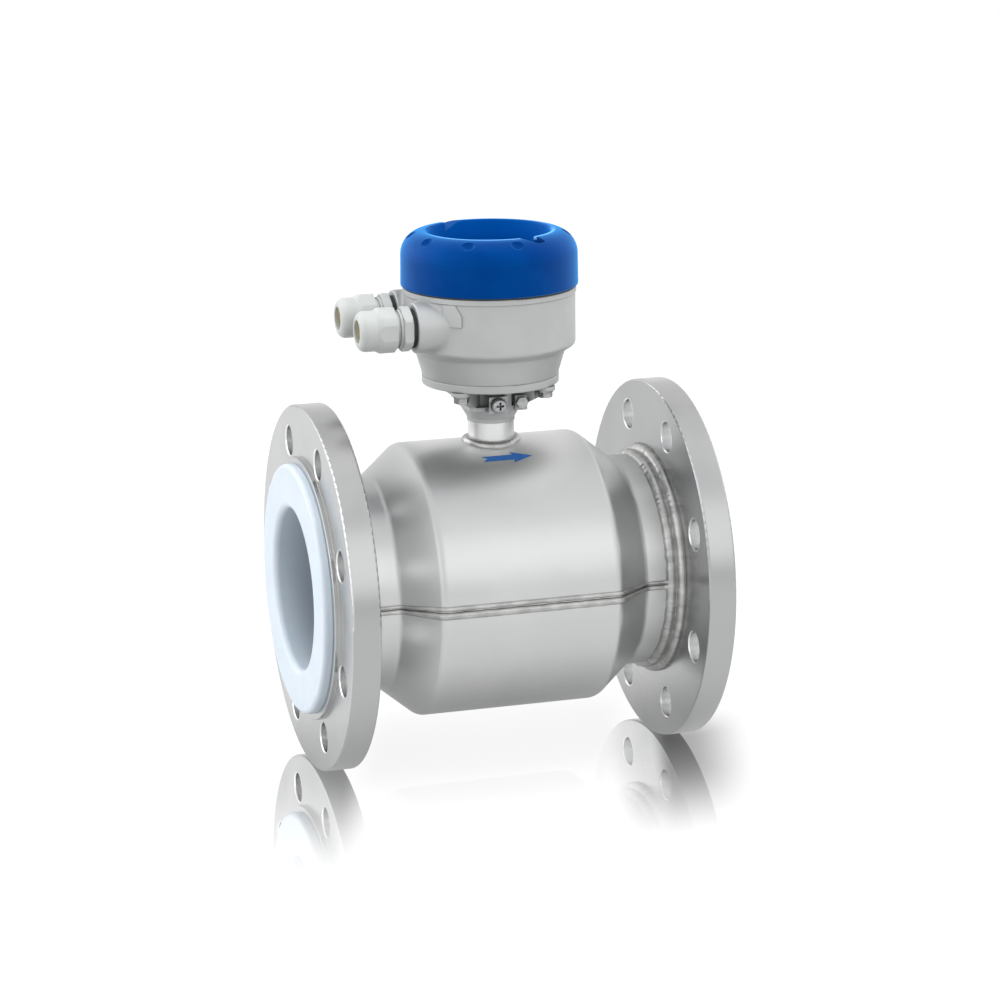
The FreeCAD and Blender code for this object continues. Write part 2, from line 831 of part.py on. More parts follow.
def connection_box():
    """Cast box: a cone, a wider cylinder, a screw collar and two cable entry bosses."""
    cone_top = box_bottom + box_cone_height
    step_top = cone_top + box_step_height
    outside = turned([
        (0, box_bottom),
        (box_base_radius, box_bottom),
        (box_cone_radius, cone_top, box_step_rounding),
        (box_radius, step_top, box_step_rounding),
        (box_radius, shoulder_level, box_edge),
        (box_collar_radius, shoulder_level),
        (box_collar_radius, shoulder_level + box_collar_height, box_edge),
        (0, shoulder_level + box_collar_height),
    ])
    boss = turned([
        (0, -entry_boss_face * entry_boss_root),
        (entry_boss_radius, -entry_boss_face * entry_boss_root),
        (entry_boss_radius, 0, entry_boss_edge),
        (0, 0),
    ])
    bosses = [placed(boss, place, -X_AXIS) for place in entry_places()]
    body = outside.fuse(bosses).removeSplitter()
    roots = [edge for edge in body.Edges if is_boss_root(edge)]
    body = body.makeFillet(entry_boss_fillet, roots).fuse([box_rim(), entry_pad()])
    cavity = turned([
        (0, floor_top),
        (box_base_radius - box_lower_wall, floor_top, box_step_rounding),
        (box_cone_radius - box_lower_wall, cone_top),
        (box_inner, step_top + box_lower_wall),
        (box_inner, shoulder_level + box_collar_height + overcut),
        (0, shoulder_level + box_collar_height + overcut),
    ])
    pillars = [
        Part.makeCylinder(pillar_radius, pillar_height + overcut, FreeCAD.Vector(x, y, floor_top - overcut))
        for x, y in pillar_places()
    ]
    body = body.cut(cavity).fuse(pillars)
    cuts = [Part.makeCylinder(neck_inner, REACH)]
    for x, y in pillar_places():
        foot = FreeCAD.Vector(x, y, carrier_bottom - carrier_screw_grip)
        cuts.append(Part.makeCylinder(carrier_screw_radius, REACH, foot))
    for x, y in bolt_places():
        cuts.append(Part.makeCylinder(box_bolt_radius, box_bolt_grip, FreeCAD.Vector(x, y, box_bottom)))
    for place in entry_places():
        cuts.append(Part.makeCylinder(gland_thread_radius, entry_boss_face * entry_boss_root, place, X_AXIS))
    earth_foot = FreeCAD.Vector(inner_earth_place, 0, floor_top - inner_earth_grip)
    cuts.append(Part.makeCylinder(inner_earth_screw_radius, inner_earth_grip, earth_foot))
    return body.cut(cuts).removeSplitter()


def box_rim():
    """Slightly wider band at the top of the box, under the cover."""
    foot = shoulder_level - box_rim_height
    rim_radius = box_radius + box_rim_proud
    return turned([
        (box_inner, foot - box_rim_proud),
        (box_radius, foot - box_rim_proud),
        (rim_radius, foot),
        (rim_radius, shoulder_level, box_edge),
        (box_inner, shoulder_level),
    ])


def entry_pad():
    """Flat pad on the wall beside the front cable entry, with one corner cut off."""
    half_width = entry_pad_width / 2
    half_height = entry_pad_height / 2
    reach = box_radius + entry_pad_proud
    corners = [
        FreeCAD.Vector(-half_width, -reach, -half_height),
        FreeCAD.Vector(half_width, -reach, -half_height),
        FreeCAD.Vector(half_width, -reach, 0),
        FreeCAD.Vector(half_width - entry_pad_corner, -reach, half_height),
        FreeCAD.Vector(-half_width, -reach, half_height),
    ]
    pad = Part.Face(Part.makePolygon(corners + corners[:1])).extrude(Y_AXIS * box_wall)
    pad.translate(Z_AXIS * (box_bottom + entry_pad_level + half_height))
    pad.rotate(ORIGIN, Z_AXIS, -entry_pad_turn)
    return pad


def is_boss_root(edge):
    """Whether an edge is where a cable entry boss meets the wall of the box."""
    if len(edge.Vertexes) == 0 or edge.Curve.TypeId in ("Part::GeomLine", "Part::GeomCircle"):
        return False
    centre = edge.BoundBox.Center
    return centre.x < 0 and edge.BoundBox.ZLength > entry_boss_radius / 2


def carrier_plate():
    """Round plate in the box that carries the terminal blocks."""
    plate = ring(carrier_hole_radius, carrier_radius, carrier_bottom, carrier_thickness)
    holes = [Part.makeCylinder(carrier_screw_radius, REACH, FreeCAD.Vector(x, y, 0)) for x, y in pillar_places()]
    earth_gap_radius = inner_earth_head_radius + inner_earth_gap
    earth_gap = Part.makeCylinder(earth_gap_radius, REACH, FreeCAD.Vector(inner_earth_place, 0, 0))
    return plate.cut(holes + [earth_gap])


def carrier_screws():
    """Screws that hold the terminal plate on its pillars."""
    grip = carrier_screw_grip + carrier_thickness
    screw = pan_screw(carrier_screw_head_radius, carrier_screw_head_height, carrier_screw_radius, grip)
    return Part.makeCompound([placed(screw, FreeCAD.Vector(x, y, carrier_top)) for x, y in pillar_places()])


def pole_centres(start, poles):
    """Places of a terminal block's poles along Y."""
    return [start + terminal_pitch * (index + 0.5) for index in range(poles)]


def terminal_block(start, poles):
    """Moulded block with a screw well and two wire holes for each pole."""
    length = poles * terminal_pitch
    middle = terminal_place + terminal_depth / 2
    body = block(terminal_depth, length, terminal_height, middle, start + length / 2, carrier_top)
    wells = []
    for y in pole_centres(start, poles):
        well_floor = carrier_top + terminal_height - terminal_well_depth
        wells.append(Part.makeCylinder(terminal_well_radius, REACH, FreeCAD.Vector(middle, y, well_floor)))
        level = carrier_top + terminal_wire_level
        inner = FreeCAD.Vector(terminal_place, y, level)
        outer = FreeCAD.Vector(terminal_place + terminal_depth, y, level)
        wells.append(Part.makeCylinder(terminal_wire_radius, terminal_wire_depth, inner, X_AXIS))
        wells.append(Part.makeCylinder(terminal_wire_radius, terminal_wire_depth, outer, -X_AXIS))
    return body.cut(wells)


def terminal_screws():
    """A slotted clamping screw in each well."""
    screw = Part.makeCylinder(terminal_screw_radius, terminal_screw_height)
    slot_floor = terminal_screw_height / 2
    slot = block(3 * terminal_screw_radius, terminal_screw_radius / 3, slot_floor, z=slot_floor)
    screw = screw.cut(slot)
    middle = terminal_place + terminal_depth / 2
    floor = carrier_top + terminal_height - terminal_well_depth
    centres = pole_centres(signal_block_start, signal_poles) + pole_centres(coil_block_start, coil_poles)
    return Part.makeCompound([placed(screw, FreeCAD.Vector(middle, y, floor)) for y in centres])


def inner_earth_screw():
    """Earth screw on the floor of the box."""
    screw = pan_screw(inner_earth_head_radius, inner_earth_head_height, inner_earth_screw_radius, inner_earth_grip)
    return placed(screw, FreeCAD.Vector(inner_earth_place, 0, floor_top))


def gland_body():
    """Gland body along its own axis: thread, hexagon, collar and clamping sleeve."""
    bore_step = gland_hex_end + gland_collar_height
    core = turned([
        (gland_bore_radius, -gland_thread_length),
        (gland_thread_radius, -gland_thread_length),
        (gland_thread_radius, gland_hex_start),
        (gland_collar_radius, gland_hex_start),
        (gland_collar_radius, bore_step),
        (gland_claw_radius, bore_step),
        (gland_claw_radius, gland_hex_end + gland_claw_height),
        (gland_claw_bore, gland_hex_end + gland_claw_height),
        (gland_claw_bore, bore_step),
        (gland_bore_radius, bore_step),
    ])
    flats = hexagon(gland_flats, gland_hex_height, gland_hex_start)
    trim = turned([
        (gland_bore_radius, gland_hex_start),
        (gland_hex_corner_radius - gland_hex_edge, gland_hex_start),
        (gland_hex_corner_radius, gland_hex_start + gland_hex_edge),
        (gland_hex_corner_radius, gland_hex_end - gland_hex_edge),
        (gland_hex_corner_radius - gland_hex_edge, gland_hex_end),
        (gland_bore_radius, gland_hex_end),
    ])
    return core.fuse(flats.common(trim)).removeSplitter()


def gland_washer():
    """Rubber washer between the boss and the gland's hexagon."""
    return ring(gland_thread_radius, gland_washer_radius, 0, gland_washer_thickness)


def gland_insert():
    """Rubber insert that closes on the cable."""
    head_start = gland_insert_end - gland_insert_head
    stem_radius = gland_claw_bore - slip
    return turned([
        (gland_insert_radius, gland_insert_start),
        (stem_radius, gland_insert_start),
        (stem_radius, head_start),
        (gland_claw_radius - slip, head_start),
        (gland_claw_radius - slip, gland_insert_end),
        (gland_insert_radius, gland_insert_end),
    ])


def gland_nut():
    """Dome nut of the gland, with flats on its skirt and a rounded mouth."""
    skirt_end = gland_nut_start + gland_nut_skirt
    dome = turned([
        (gland_claw_radius + slip, gland_nut_start),
        (gland_nut_skirt_corner, gland_nut_start),
        (gland_nut_skirt_corner, skirt_end - gland_nut_skirt_slope),
        (gland_flats / 2, skirt_end),
        (gland_flats / 2, gland_nut_end, gland_nut_rounding),
        (gland_mouth_radius, gland_nut_end, gland_mouth_rounding),
        (gland_mouth_radius, gland_insert_end),
        (gland_claw_radius + slip, gland_insert_end),
    ])
    flats = hexagon(gland_nut_skirt_flats, gland_nut_length, gland_nut_start)
    return dome.common(flats)


def cover_profile():
    """Corners of the cover's section: outside, rim, recess and moulded underside."""
    recess_floor = cover_top - cover_recess_depth
    recess_radius = cover_rim_radius - cover_recess_draft
    web_radius = cover_rim_radius + cover_web
    return [
        (cover_inner, cover_bottom),
        (cover_radius, cover_bottom, cover_skirt_edge),
        (cover_radius - cover_draft, cover_top, cover_shoulder),
        (cover_rim_radius, cover_top, cover_rim_edge),
        (recess_radius, recess_floor, cover_recess_rounding),
        (0, recess_floor),
        (0, recess_floor - cover_roof),
        (web_radius, recess_floor - cover_roof, cover_underside_rounding),
        (web_radius, cover_top - cover_rim_roof, cover_underside_rounding),
        (cover_inner, cover_top - cover_rim_roof, cover_inner_rounding),
    ]


def cover_dimple():
    """Ball that cuts one dimple, at the angle zero toward +X."""
    centre_radius = cover_radius - cover_draft - cover_shoulder
    centre_level = cover_top - cover_shoulder
    lift = math.sqrt(cover_shoulder ** 2 - (dimple_circle_radius - centre_radius) ** 2)
    normal = FreeCAD.Vector(dimple_circle_radius - centre_radius, 0, lift).normalize()
    surface = FreeCAD.Vector(dimple_circle_radius, 0, centre_level + lift)
    height = math.sqrt(dimple_ball_radius ** 2 - dimple_radius ** 2)
    return Part.makeSphere(dimple_ball_radius, surface + normal * height)


def cover_slot():
    """Ramped notch across the rim, with its steep wall at the angle zero toward +X."""
    inner = cover_rim_radius - 2 * cover_recess_draft
    corners = [
        FreeCAD.Vector(inner, -slot_ramp_length, cover_top),
        FreeCAD.Vector(inner, 0, cover_top - slot_depth),
        FreeCAD.Vector(inner, 0, cover_top + overcut),
        FreeCAD.Vector(inner, -slot_ramp_length, cover_top + overcut),
    ]
    face = Part.Face(Part.makePolygon(corners + corners[:1]))
    return face.extrude(X_AXIS * (slot_outer_radius - inner))


def cover():
    """Screw cover with a sunk middle, a ring of dimples and two wrench notches."""
    body = turned(cover_profile())
    cuts = []
    for angle in around(dimple_count, dimple_start - quarter_turn):
        dimple = cover_dimple()
        dimple.rotate(ORIGIN, Z_AXIS, angle)
        cuts.append(dimple)
    for angle in around(slot_count, slot_wall_angle - quarter_turn):
        slot = cover_slot()
        slot.rotate(ORIGIN, Z_AXIS, angle)
        cuts.append(slot)
    return body.cut(cuts)


def cover_seal():
    """Flat seal between the box and the cover."""
    return ring(cover_inner, cover_inner + cover_seal_width, shoulder_level, cover_seal_thickness)


def pole_shoe(side):
    """Curved plate on the measuring tube under a coil; side is 1 on top and -1 below."""
    middle = 0 if side > 0 else half_turn
    return turned_part([
        (-pole_shoe_half_length, tube_radius),
        (pole_shoe_half_length, tube_radius),
        (pole_shoe_half_length, shoe_outer),
        (-pole_shoe_half_length, shoe_outer),
    ], middle - pole_shoe_angle, 2 * pole_shoe_angle)


def coil_core(side):
    """Round core between a pole shoe and the flux bands, tapped for its screw."""
    core = Part.makeCylinder(core_radius, band_inner).common(cylinder_x(band_inner))
    core = core.cut(cylinder_x(shoe_outer))
    tap = Part.makeCylinder(core_screw_radius, REACH, FreeCAD.Vector(0, 0, band_inner - core_screw_grip))
    return placed(core.cut(tap), ORIGIN, Z_AXIS * side)


def coil_bobbin(side):
    """Moulded spool on a core."""
    sleeve = core_radius + part_clearance
    bobbin = turned([
        (sleeve, bobbin_bottom),
        (bobbin_radius, bobbin_bottom),
        (bobbin_radius, bobbin_bottom + bobbin_wall),
        (sleeve + bobbin_wall, bobbin_bottom + bobbin_wall),
        (sleeve + bobbin_wall, bobbin_top - bobbin_wall),
        (bobbin_radius, bobbin_top - bobbin_wall),
        (bobbin_radius, bobbin_top),
        (sleeve, bobbin_top),
    ])
    return placed(bobbin, ORIGIN, Z_AXIS * side)


def coil(side):
    """Winding on its bobbin."""
    inner = core_radius + part_clearance + bobbin_wall
    bottom = bobbin_bottom + bobbin_wall
    winding = ring(inner, bobbin_radius - coil_inset, bottom, bobbin_top - bobbin_wall - bottom)
    return placed(winding, ORIGIN, Z_AXIS * side)


def flux_band(side):
    """Steel band from the upper core round one side to the lower core."""
    band = turned_part([
        (-band_half_width, band_inner),
        (band_half_width, band_inner),
        (band_half_width, band_inner + band_thickness),
        (-band_half_width, band_inner + band_thickness),
    ], 0 if side < 0 else half_turn, half_turn)
    hole = Part.makeCylinder(core_screw_radius, REACH, FreeCAD.Vector(0, 0, -REACH / 2))
    return band.cut(hole)


def core_screws():
    """Screw through the bands into each core."""
    seat = band_inner + band_thickness
    grip = band_thickness + core_screw_grip
    screw = pan_screw(core_screw_head_radius, core_screw_head_height, core_screw_radius, grip)
    top = placed(screw, Z_AXIS * seat)
    bottom = placed(screw, Z_AXIS * -seat, -Z_AXIS)
    return Part.makeCompound([top, bottom])


def electrode_seat():
    """Distance from the pipe axis to the top of an electrode bushing."""
    return tube_radius + bushing_flange_height


def electrode_end():
    """Distance from the pipe axis to the end of an electrode."""
    return electrode_seat() + electrode_washer_thickness + electrode_nut_height + electrode_tail


def across(shape, side):
    """Shape built along +Z, pointed to the front for -1 or to the rear for 1."""
    return placed(shape, ORIGIN, Y_AXIS * side)


def electrode(side):
    """Measuring electrode: a flat head in the liner and a shank through the wall."""
    head = liner_bore + electrode_sink
    return across(turned([
        (0, head),
        (electrode_head_radius, head),
        (electrode_head_radius, head + electrode_head_thickness),
        (electrode_radius, head + electrode_head_thickness),
        (electrode_radius, electrode_end()),
        (0, electrode_end()),
    ]), side)


def electrode_bushing(side):
    """Insulating bushing between an electrode and the tube."""
    sleeve = ring(electrode_radius, bushing_radius, tube_inner, electrode_seat() - tube_inner)
    head_bottom = tube_radius - bushing_flange_height
    head = ring(electrode_radius, bushing_flange_radius, head_bottom, electrode_seat() - head_bottom)
    return across(sleeve.fuse(head.cut(cylinder_x(tube_radius))), side)


def electrode_washers():
    """Washer on each bushing."""
    washer = ring(electrode_radius, electrode_washer_radius, electrode_seat(), electrode_washer_thickness)
    return Part.makeCompound([across(washer, -1), across(washer, 1)])


def electrode_nuts():
    """Nut on each electrode."""
    bottom = electrode_seat() + electrode_washer_thickness
    nut = hexagon(electrode_nut_flats, electrode_nut_height, bottom)
    nut = nut.cut(Part.makeCylinder(electrode_radius, REACH))
    return Part.makeCompound([across(nut, -1), across(nut, 1)])


def lead(points, bend):
    """Round wire along straight runs joined by tangent arcs."""
    stations = [(points[0], None, points[0])]
    for before, corner, after in zip(points, points[1:], points[2:]):
        shorter = min(before.distanceToPoint(corner), corner.distanceToPoint(after))
        half_angle = (corner - before).getAngle(after - corner) / 2
        rounding = lead_arc_share * shorter / math.tan(half_angle)
        stations.append(rounded_corner(corner, before, after, min(rounding, bend)))
    stations.append((points[-1], None, points[-1]))
    path = Part.Wire(joined_edges(stations, False))
    section = Part.Wire(Part.makeCircle(lead_radius, points[0], points[1] - points[0]))
    return path.makePipeShell([section], True, False)


def lead_level():
    """Height of the leads between the flux bands and the shell."""
    return band_inner + band_thickness + lead_wall_gap + lead_radius


def signal_leads():
    """A lead from each electrode, round the inside of the housing and up the neck."""
    wires = []
    reach = housing_inner - lead_wall_gap - 3 * lead_radius
    poles = pole_centres(signal_block_start, signal_poles)
    for side in (-1, 1):
        y = side * lead_spread
        start = FreeCAD.Vector(electrode_radius + lead_radius, side * (electrode_end() - 2 * lead_radius), 0)
        points = [start, FreeCAD.Vector(lead_side_place, start.y, 0)]
        for angle in lead_round_angles:
            turn = math.radians(angle)
            points.append(FreeCAD.Vector(lead_side_place, side * reach * math.sin(turn), reach * math.cos(turn)))
        points.append(FreeCAD.Vector(lead_side_place - lead_side_step, y, lead_level()))
        points.append(FreeCAD.Vector(lead_neck_place, y, lead_level()))
        points.append(FreeCAD.Vector(lead_neck_place, y, carrier_top + terminal_wire_level))
        pole = poles[2] if side < 0 else poles[3]
        points.append(FreeCAD.Vector(terminal_place, pole, carrier_top + terminal_wire_level))
        wires.append(lead(points, lead_bend))
    return Part.makeCompound(wires)


def coil_leads():
    """Two leads from the upper coil to the terminals, and the link to the lower coil."""
    wires = []
    place = -(bobbin_radius + band_half_width) / 2
    level = carrier_top + terminal_wire_level
    for side, pole in zip((-1, 1), pole_centres(coil_block_start, coil_poles)):
        y = side * lead_spread
        points = [
            FreeCAD.Vector(place, y, bobbin_top),
            FreeCAD.Vector(place, y, lead_level()),
            FreeCAD.Vector(-lead_neck_place, y, lead_level()),
            FreeCAD.Vector(-lead_neck_place, y, level + lead_drop + side * lead_spread),
            FreeCAD.Vector(terminal_place - lead_turn_place, pole, level + lead_drop + side * lead_spread),
            FreeCAD.Vector(terminal_place - lead_entry_length, pole, level),
            FreeCAD.Vector(terminal_place, pole, level),
        ]
        wires.append(lead(points, lead_bend))
    wires.append(coil_link(place))
    return Part.makeCompound(wires)


def coil_link(place):
    """Wire round the inside of the housing from the lower coil to the upper one."""
    reach = housing_inner - lead_wall_gap - 3 * lead_radius
    y = 2 * lead_spread + lead_radius
    points = [FreeCAD.Vector(place, y, -bobbin_top), FreeCAD.Vector(place, y, -lead_level())]
    lower_angles = [half_turn - angle for angle in reversed(lead_round_angles)]
    for angle in lower_angles + list(lead_round_angles):
        turn = math.radians(angle)
        points.append(FreeCAD.Vector(place, reach * math.sin(turn), reach * math.cos(turn)))
    points.append(FreeCAD.Vector(place, y, lead_level()))
    points.append(FreeCAD.Vector(place, y, bobbin_top))
    return lead(points, lead_bend)


def flow_arrow():
    """Film in the shape of an arrow, on the barrel, pointing with the flow."""
    tail = arrow_centre - arrow_length / 2
    tip = arrow_centre + arrow_length / 2
    neck = tip - arrow_head_length
    half_shaft = arrow_shaft_width / 2
    half_head = arrow_head_width / 2
    points = [
        (tail, -half_shaft),
        (neck, -half_shaft),
        (neck - arrow_barb, -half_head),
        (tip, 0),
        (neck - arrow_barb, half_head),
        (neck, half_shaft),
        (tail, half_shaft),
        (tail + arrow_tail_notch, 0),
    ]
    corners = [FreeCAD.Vector(x, y, 0) for x, y in points]
    prism = Part.Face(Part.makePolygon(corners + corners[:1])).extrude(Z_AXIS * REACH)
    prism.rotate(ORIGIN, X_AXIS, arrow_angle)
    film = cylinder_x(barrel_radius + arrow_film).cut(cylinder_x(barrel_radius))
    return film.common(prism)


def all_pieces():
    """Every piece by its node name."""
    pieces = {
        "inlet_flange": flange(-1),
        "outlet_flange": flange(1),
        "measuring_tube": measuring_tube(),
        "liner": liner(),
        "upper_housing_shell": housing_shell(True),
        "lower_housing_shell": housing_shell(False),
        "front_seam_weld": seam_weld(-1),
        "rear_seam_weld": seam_weld(1),
        "inlet_collar_weld": collar_weld(-1),
        "outlet_collar_weld": collar_weld(1),
        "neck_tube": neck_tube(),
        "neck_weld": neck_weld(),
        "neck_adapter": neck_adapter(),
        "neck_seal": neck_seal(),
        "box_bolts": box_bolts(),
        "box_washers": box_washers(),
        "earth_clamp": earth_clamp(),
        "earth_clamp_washer": earth_clamp_washer(),
        "earth_clamp_screw": earth_clamp_screw(),
        "earth_bolt": earth_bolt(),
        "connection_box": connection_box(),
        "terminal_plate": carrier_plate(),
        "terminal_plate_screws": carrier_screws(),
        "signal_terminal_block": terminal_block(signal_block_start, signal_poles),
        "coil_terminal_block": terminal_block(coil_block_start, coil_poles),
        "terminal_screws": terminal_screws(),
        "inner_earth_screw": inner_earth_screw(),
        "cover": cover(),
        "cover_seal": cover_seal(),
        "front_flux_band": flux_band(-1),
        "rear_flux_band": flux_band(1),
        "core_screws": core_screws(),
        "electrode_washers": electrode_washers(),
        "electrode_nuts": electrode_nuts(),
        "signal_leads": signal_leads(),
        "coil_leads": coil_leads(),
        "flow_arrow": flow_arrow(),
    }
    for side, word in ((1, "upper"), (-1, "lower")):
        pieces[word + "_pole_shoe"] = pole_shoe(side)
        pieces[word + "_coil_core"] = coil_core(side)
        pieces[word + "_coil_bobbin"] = coil_bobbin(side)
        pieces[word + "_coil"] = coil(side)
    for side, word in ((-1, "front"), (1, "rear")):
        pieces[word + "_electrode"] = electrode(side)
        pieces[word + "_electrode_bushing"] = electrode_bushing(side)
    for place, word in zip(entry_places(), ("front", "rear")):
        pieces[word + "_gland_body"] = placed(gland_body(), place, -X_AXIS)
        pieces[word + "_gland_washer"] = placed(gland_washer(), place, -X_AXIS)
        pieces[word + "_gland_insert"] = placed(gland_insert(), place, -X_AXIS)
        pieces[word + "_gland_nut"] = placed(gland_nut(), place, -X_AXIS)
    return pieces


os.makedirs("parts", exist_ok=True)
for node, shape in all_pieces().items():
    print(node, len(shape.Solids), "solids", round(shape.Volume, 1), "mm3", shape.isValid())
    shape.exportStep("parts/" + node + ".step")
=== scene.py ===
# %% [markdown]
# # A flanged flow meter, dressed in Blender
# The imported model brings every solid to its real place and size.
# This lesson adds what a solid model leaves out: weld beads with their ripples, threads, the finish of each
# surface, the studio and the camera.
# All sizes are written in millimetres and turned into metres where Blender needs them.

# %% Load the frame
import json
import math

import bmesh
import bpy
from mathutils import Matrix, Vector


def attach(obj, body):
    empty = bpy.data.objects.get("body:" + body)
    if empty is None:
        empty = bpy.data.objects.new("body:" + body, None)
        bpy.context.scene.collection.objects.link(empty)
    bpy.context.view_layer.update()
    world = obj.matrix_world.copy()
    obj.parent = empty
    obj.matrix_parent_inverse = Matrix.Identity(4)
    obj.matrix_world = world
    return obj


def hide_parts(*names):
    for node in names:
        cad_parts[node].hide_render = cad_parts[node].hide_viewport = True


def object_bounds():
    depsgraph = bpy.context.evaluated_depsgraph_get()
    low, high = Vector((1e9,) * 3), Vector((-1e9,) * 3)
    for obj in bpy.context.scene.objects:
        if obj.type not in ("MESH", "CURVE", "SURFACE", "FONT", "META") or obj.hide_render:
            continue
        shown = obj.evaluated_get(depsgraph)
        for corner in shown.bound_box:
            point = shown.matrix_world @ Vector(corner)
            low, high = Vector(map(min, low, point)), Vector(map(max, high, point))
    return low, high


MM = 0.001
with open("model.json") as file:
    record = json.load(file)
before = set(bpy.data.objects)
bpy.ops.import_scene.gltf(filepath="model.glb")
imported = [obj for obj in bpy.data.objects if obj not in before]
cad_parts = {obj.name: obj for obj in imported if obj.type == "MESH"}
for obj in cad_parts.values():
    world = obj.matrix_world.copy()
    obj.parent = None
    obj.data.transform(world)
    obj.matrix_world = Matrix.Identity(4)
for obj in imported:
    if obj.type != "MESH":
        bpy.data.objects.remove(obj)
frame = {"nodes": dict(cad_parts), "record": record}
cad_box = [list(corner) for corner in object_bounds()]
print("nodes", len(frame["nodes"]), "box", cad_box)

# %% [markdown]
# ## The camera
# The photograph was taken with a long lens from the front left and slightly above.
# The values come from fitting a camera to the edges of both flanges, the barrel and the cover.
# A matrix is built from the three directions right, up and back, because the camera is also a bit rolled.

# %% Place the camera
camera_azimuth = math.radians(-17.155)
camera_elevation = math.radians(14.061)
camera_roll = math.radians(-0.592)
camera_distance = 2042.233 * MM
camera_lens = 120.90
camera_sensor = 36.0
view_right_shift = 4.596 * MM
view_up_shift = 43.107 * MM
view_depth = 100000 * MM

level = math.cos(camera_elevation)
back = Vector((
    math.sin(camera_azimuth) * level,
    -math.cos(camera_azimuth) * level,
    math.sin(camera_elevation),
))
right = Vector((math.cos(camera_azimuth), math.sin(camera_azimuth), 0))
up = back.cross(right)
rolled_right = right * math.cos(camera_roll) + up * math.sin(camera_roll)
rolled_up = up * math.cos(camera_roll) - right * math.sin(camera_roll)
camera_place = back * camera_distance + rolled_right * view_right_shift + rolled_up * view_up_shift

camera_data = bpy.data.cameras.new("camera")
camera_data.lens = camera_lens
camera_data.sensor_width = camera_sensor
camera_data.clip_end = view_depth
camera = bpy.data.objects.new("camera", camera_data)
facing = Matrix((rolled_right, rolled_up, back)).transposed().to_4x4()
camera.matrix_world = Matrix.Translation(camera_place) @ facing
bpy.context.scene.collection.objects.link(camera)
bpy.context.scene.camera = camera
bpy.context.scene.view_settings.view_transform = "Standard"
print("camera at", [round(value, 3) for value in camera_place])

# %% [markdown]
# ## Writing node trees as arithmetic
# A material or a geometry tree is easier to read as sums than as boxes and wires.
# Signal wraps an output socket, so that a + b or 1 - a adds the Math node by itself.
# Bench adds any other node: its settings are set first, then the values or links of its sockets.

# %% Signals and the bench
def feed(tree, slot, value):
    """Links a signal to a socket, or sets the socket's own value."""
    if isinstance(value, Signal):
        tree.links.new(value.socket, slot)
    else:
        slot.default_value = value


class Signal:
    """An output socket that can be used in plain arithmetic."""

    def __init__(self, tree, socket):
        self.tree = tree
        self.socket = socket

    def maths(self, operation, *values):
        node = self.tree.nodes.new("ShaderNodeMath")
        node.operation = operation
        for slot, value in zip(node.inputs, values):
            feed(self.tree, slot, value)
        return Signal(self.tree, node.outputs[0])

    def __add__(self, other):
        return self.maths("ADD", self, other)

    def __radd__(self, other):
        return self.maths("ADD", other, self)

    def __sub__(self, other):
        return self.maths("SUBTRACT", self, other)

    def __rsub__(self, other):
        return self.maths("SUBTRACT", other, self)

    def __mul__(self, other):
        return self.maths("MULTIPLY", self, other)

    def __rmul__(self, other):
        return self.maths("MULTIPLY", other, self)

    def sine(self):
        return self.maths("SINE", self)

    def cosine(self):
        return self.maths("COSINE", self)

    def root(self):
        return self.maths("SQRT", self)

    def size(self):
        return self.maths("ABSOLUTE", self)

    def at_least(self, other):
        return self.maths("MAXIMUM", self, other)

    def angle_to(self, other):
        return self.maths("ARCTAN2", self, other)

    def rises(self, start, end):
        """0 below start and 1 above end, with a smooth step between; falls where start is above end."""
        node = self.tree.nodes.new("ShaderNodeMapRange")
        node.interpolation_type = "SMOOTHSTEP"
        low, high = min(start, end), max(start, end)
        steps = (low, high, 0.0, 1.0) if end > start else (low, high, 1.0, 0.0)
        feed(self.tree, node.inputs["Value"], self)
        for name, value in zip(("From Min", "From Max", "To Min", "To Max"), steps):
            node.inputs[name].default_value = value
        return Signal(self.tree, node.outputs["Result"])


class Made:
    """A node that was added, whose outputs are signals by name or by number."""

    def __init__(self, tree, node):
        self.tree = tree
        self.node = node

    def __getitem__(self, key):
        if isinstance(key, int):
            return Signal(self.tree, self.node.outputs[key])
        named = [slot for slot in self.node.outputs if slot.name == key and slot.enabled]
        return Signal(self.tree, named[0])


class Bench:
    """A node tree under construction."""

    def __init__(self, tree):
        self.tree = tree

    def add(self, kind, settings=None, sockets=None):
        """Adds a node of any type, with its settings and then its sockets by name or number."""
        node = self.tree.nodes.new(kind)
        for name, value in (settings or {}).items():
            setattr(node, name, value)
        for key, value in (sockets or {}).items():
            if isinstance(key, int):
                slot = node.inputs[key]
            else:
                slot = [one for one in node.inputs if one.name == key and one.enabled][0]
            feed(self.tree, slot, value)
        return Made(self.tree, node)

    def blend(self, factor, first, second):
        """Colour that goes from first to second."""
        settings = {"data_type": "RGBA"}
        return self.add("ShaderNodeMix", settings, {"Factor": factor, "A": first, "B": second})["Result"]

    def noise(self, place, scale, detail, rough, seed=0.0):
        """Soft noise between about 0 and 1, at a scale in cycles per unit of place."""
        sockets = {"Vector": place, "W": seed, "Scale": scale, "Detail": detail, "Roughness": rough}
        return self.add("ShaderNodeTexNoise", {"noise_dimensions": "4D"}, sockets)[0]

    def point(self, x, y, z):
        """Vector from three numbers or signals."""
        return self.add("ShaderNodeCombineXYZ", None, {"X": x, "Y": y, "Z": z})[0]

    def scaled(self, vector, factor):
        """Vector times a number or a signal."""
        settings = {"operation": "SCALE"}
        return self.add("ShaderNodeVectorMath", settings, {0: vector, "Scale": factor})["Vector"]

    def split(self, vector):
        """The x, y and z of a vector."""
        parts = self.add("ShaderNodeSeparateXYZ", None, {0: vector})
        return parts[0], parts[1], parts[2]


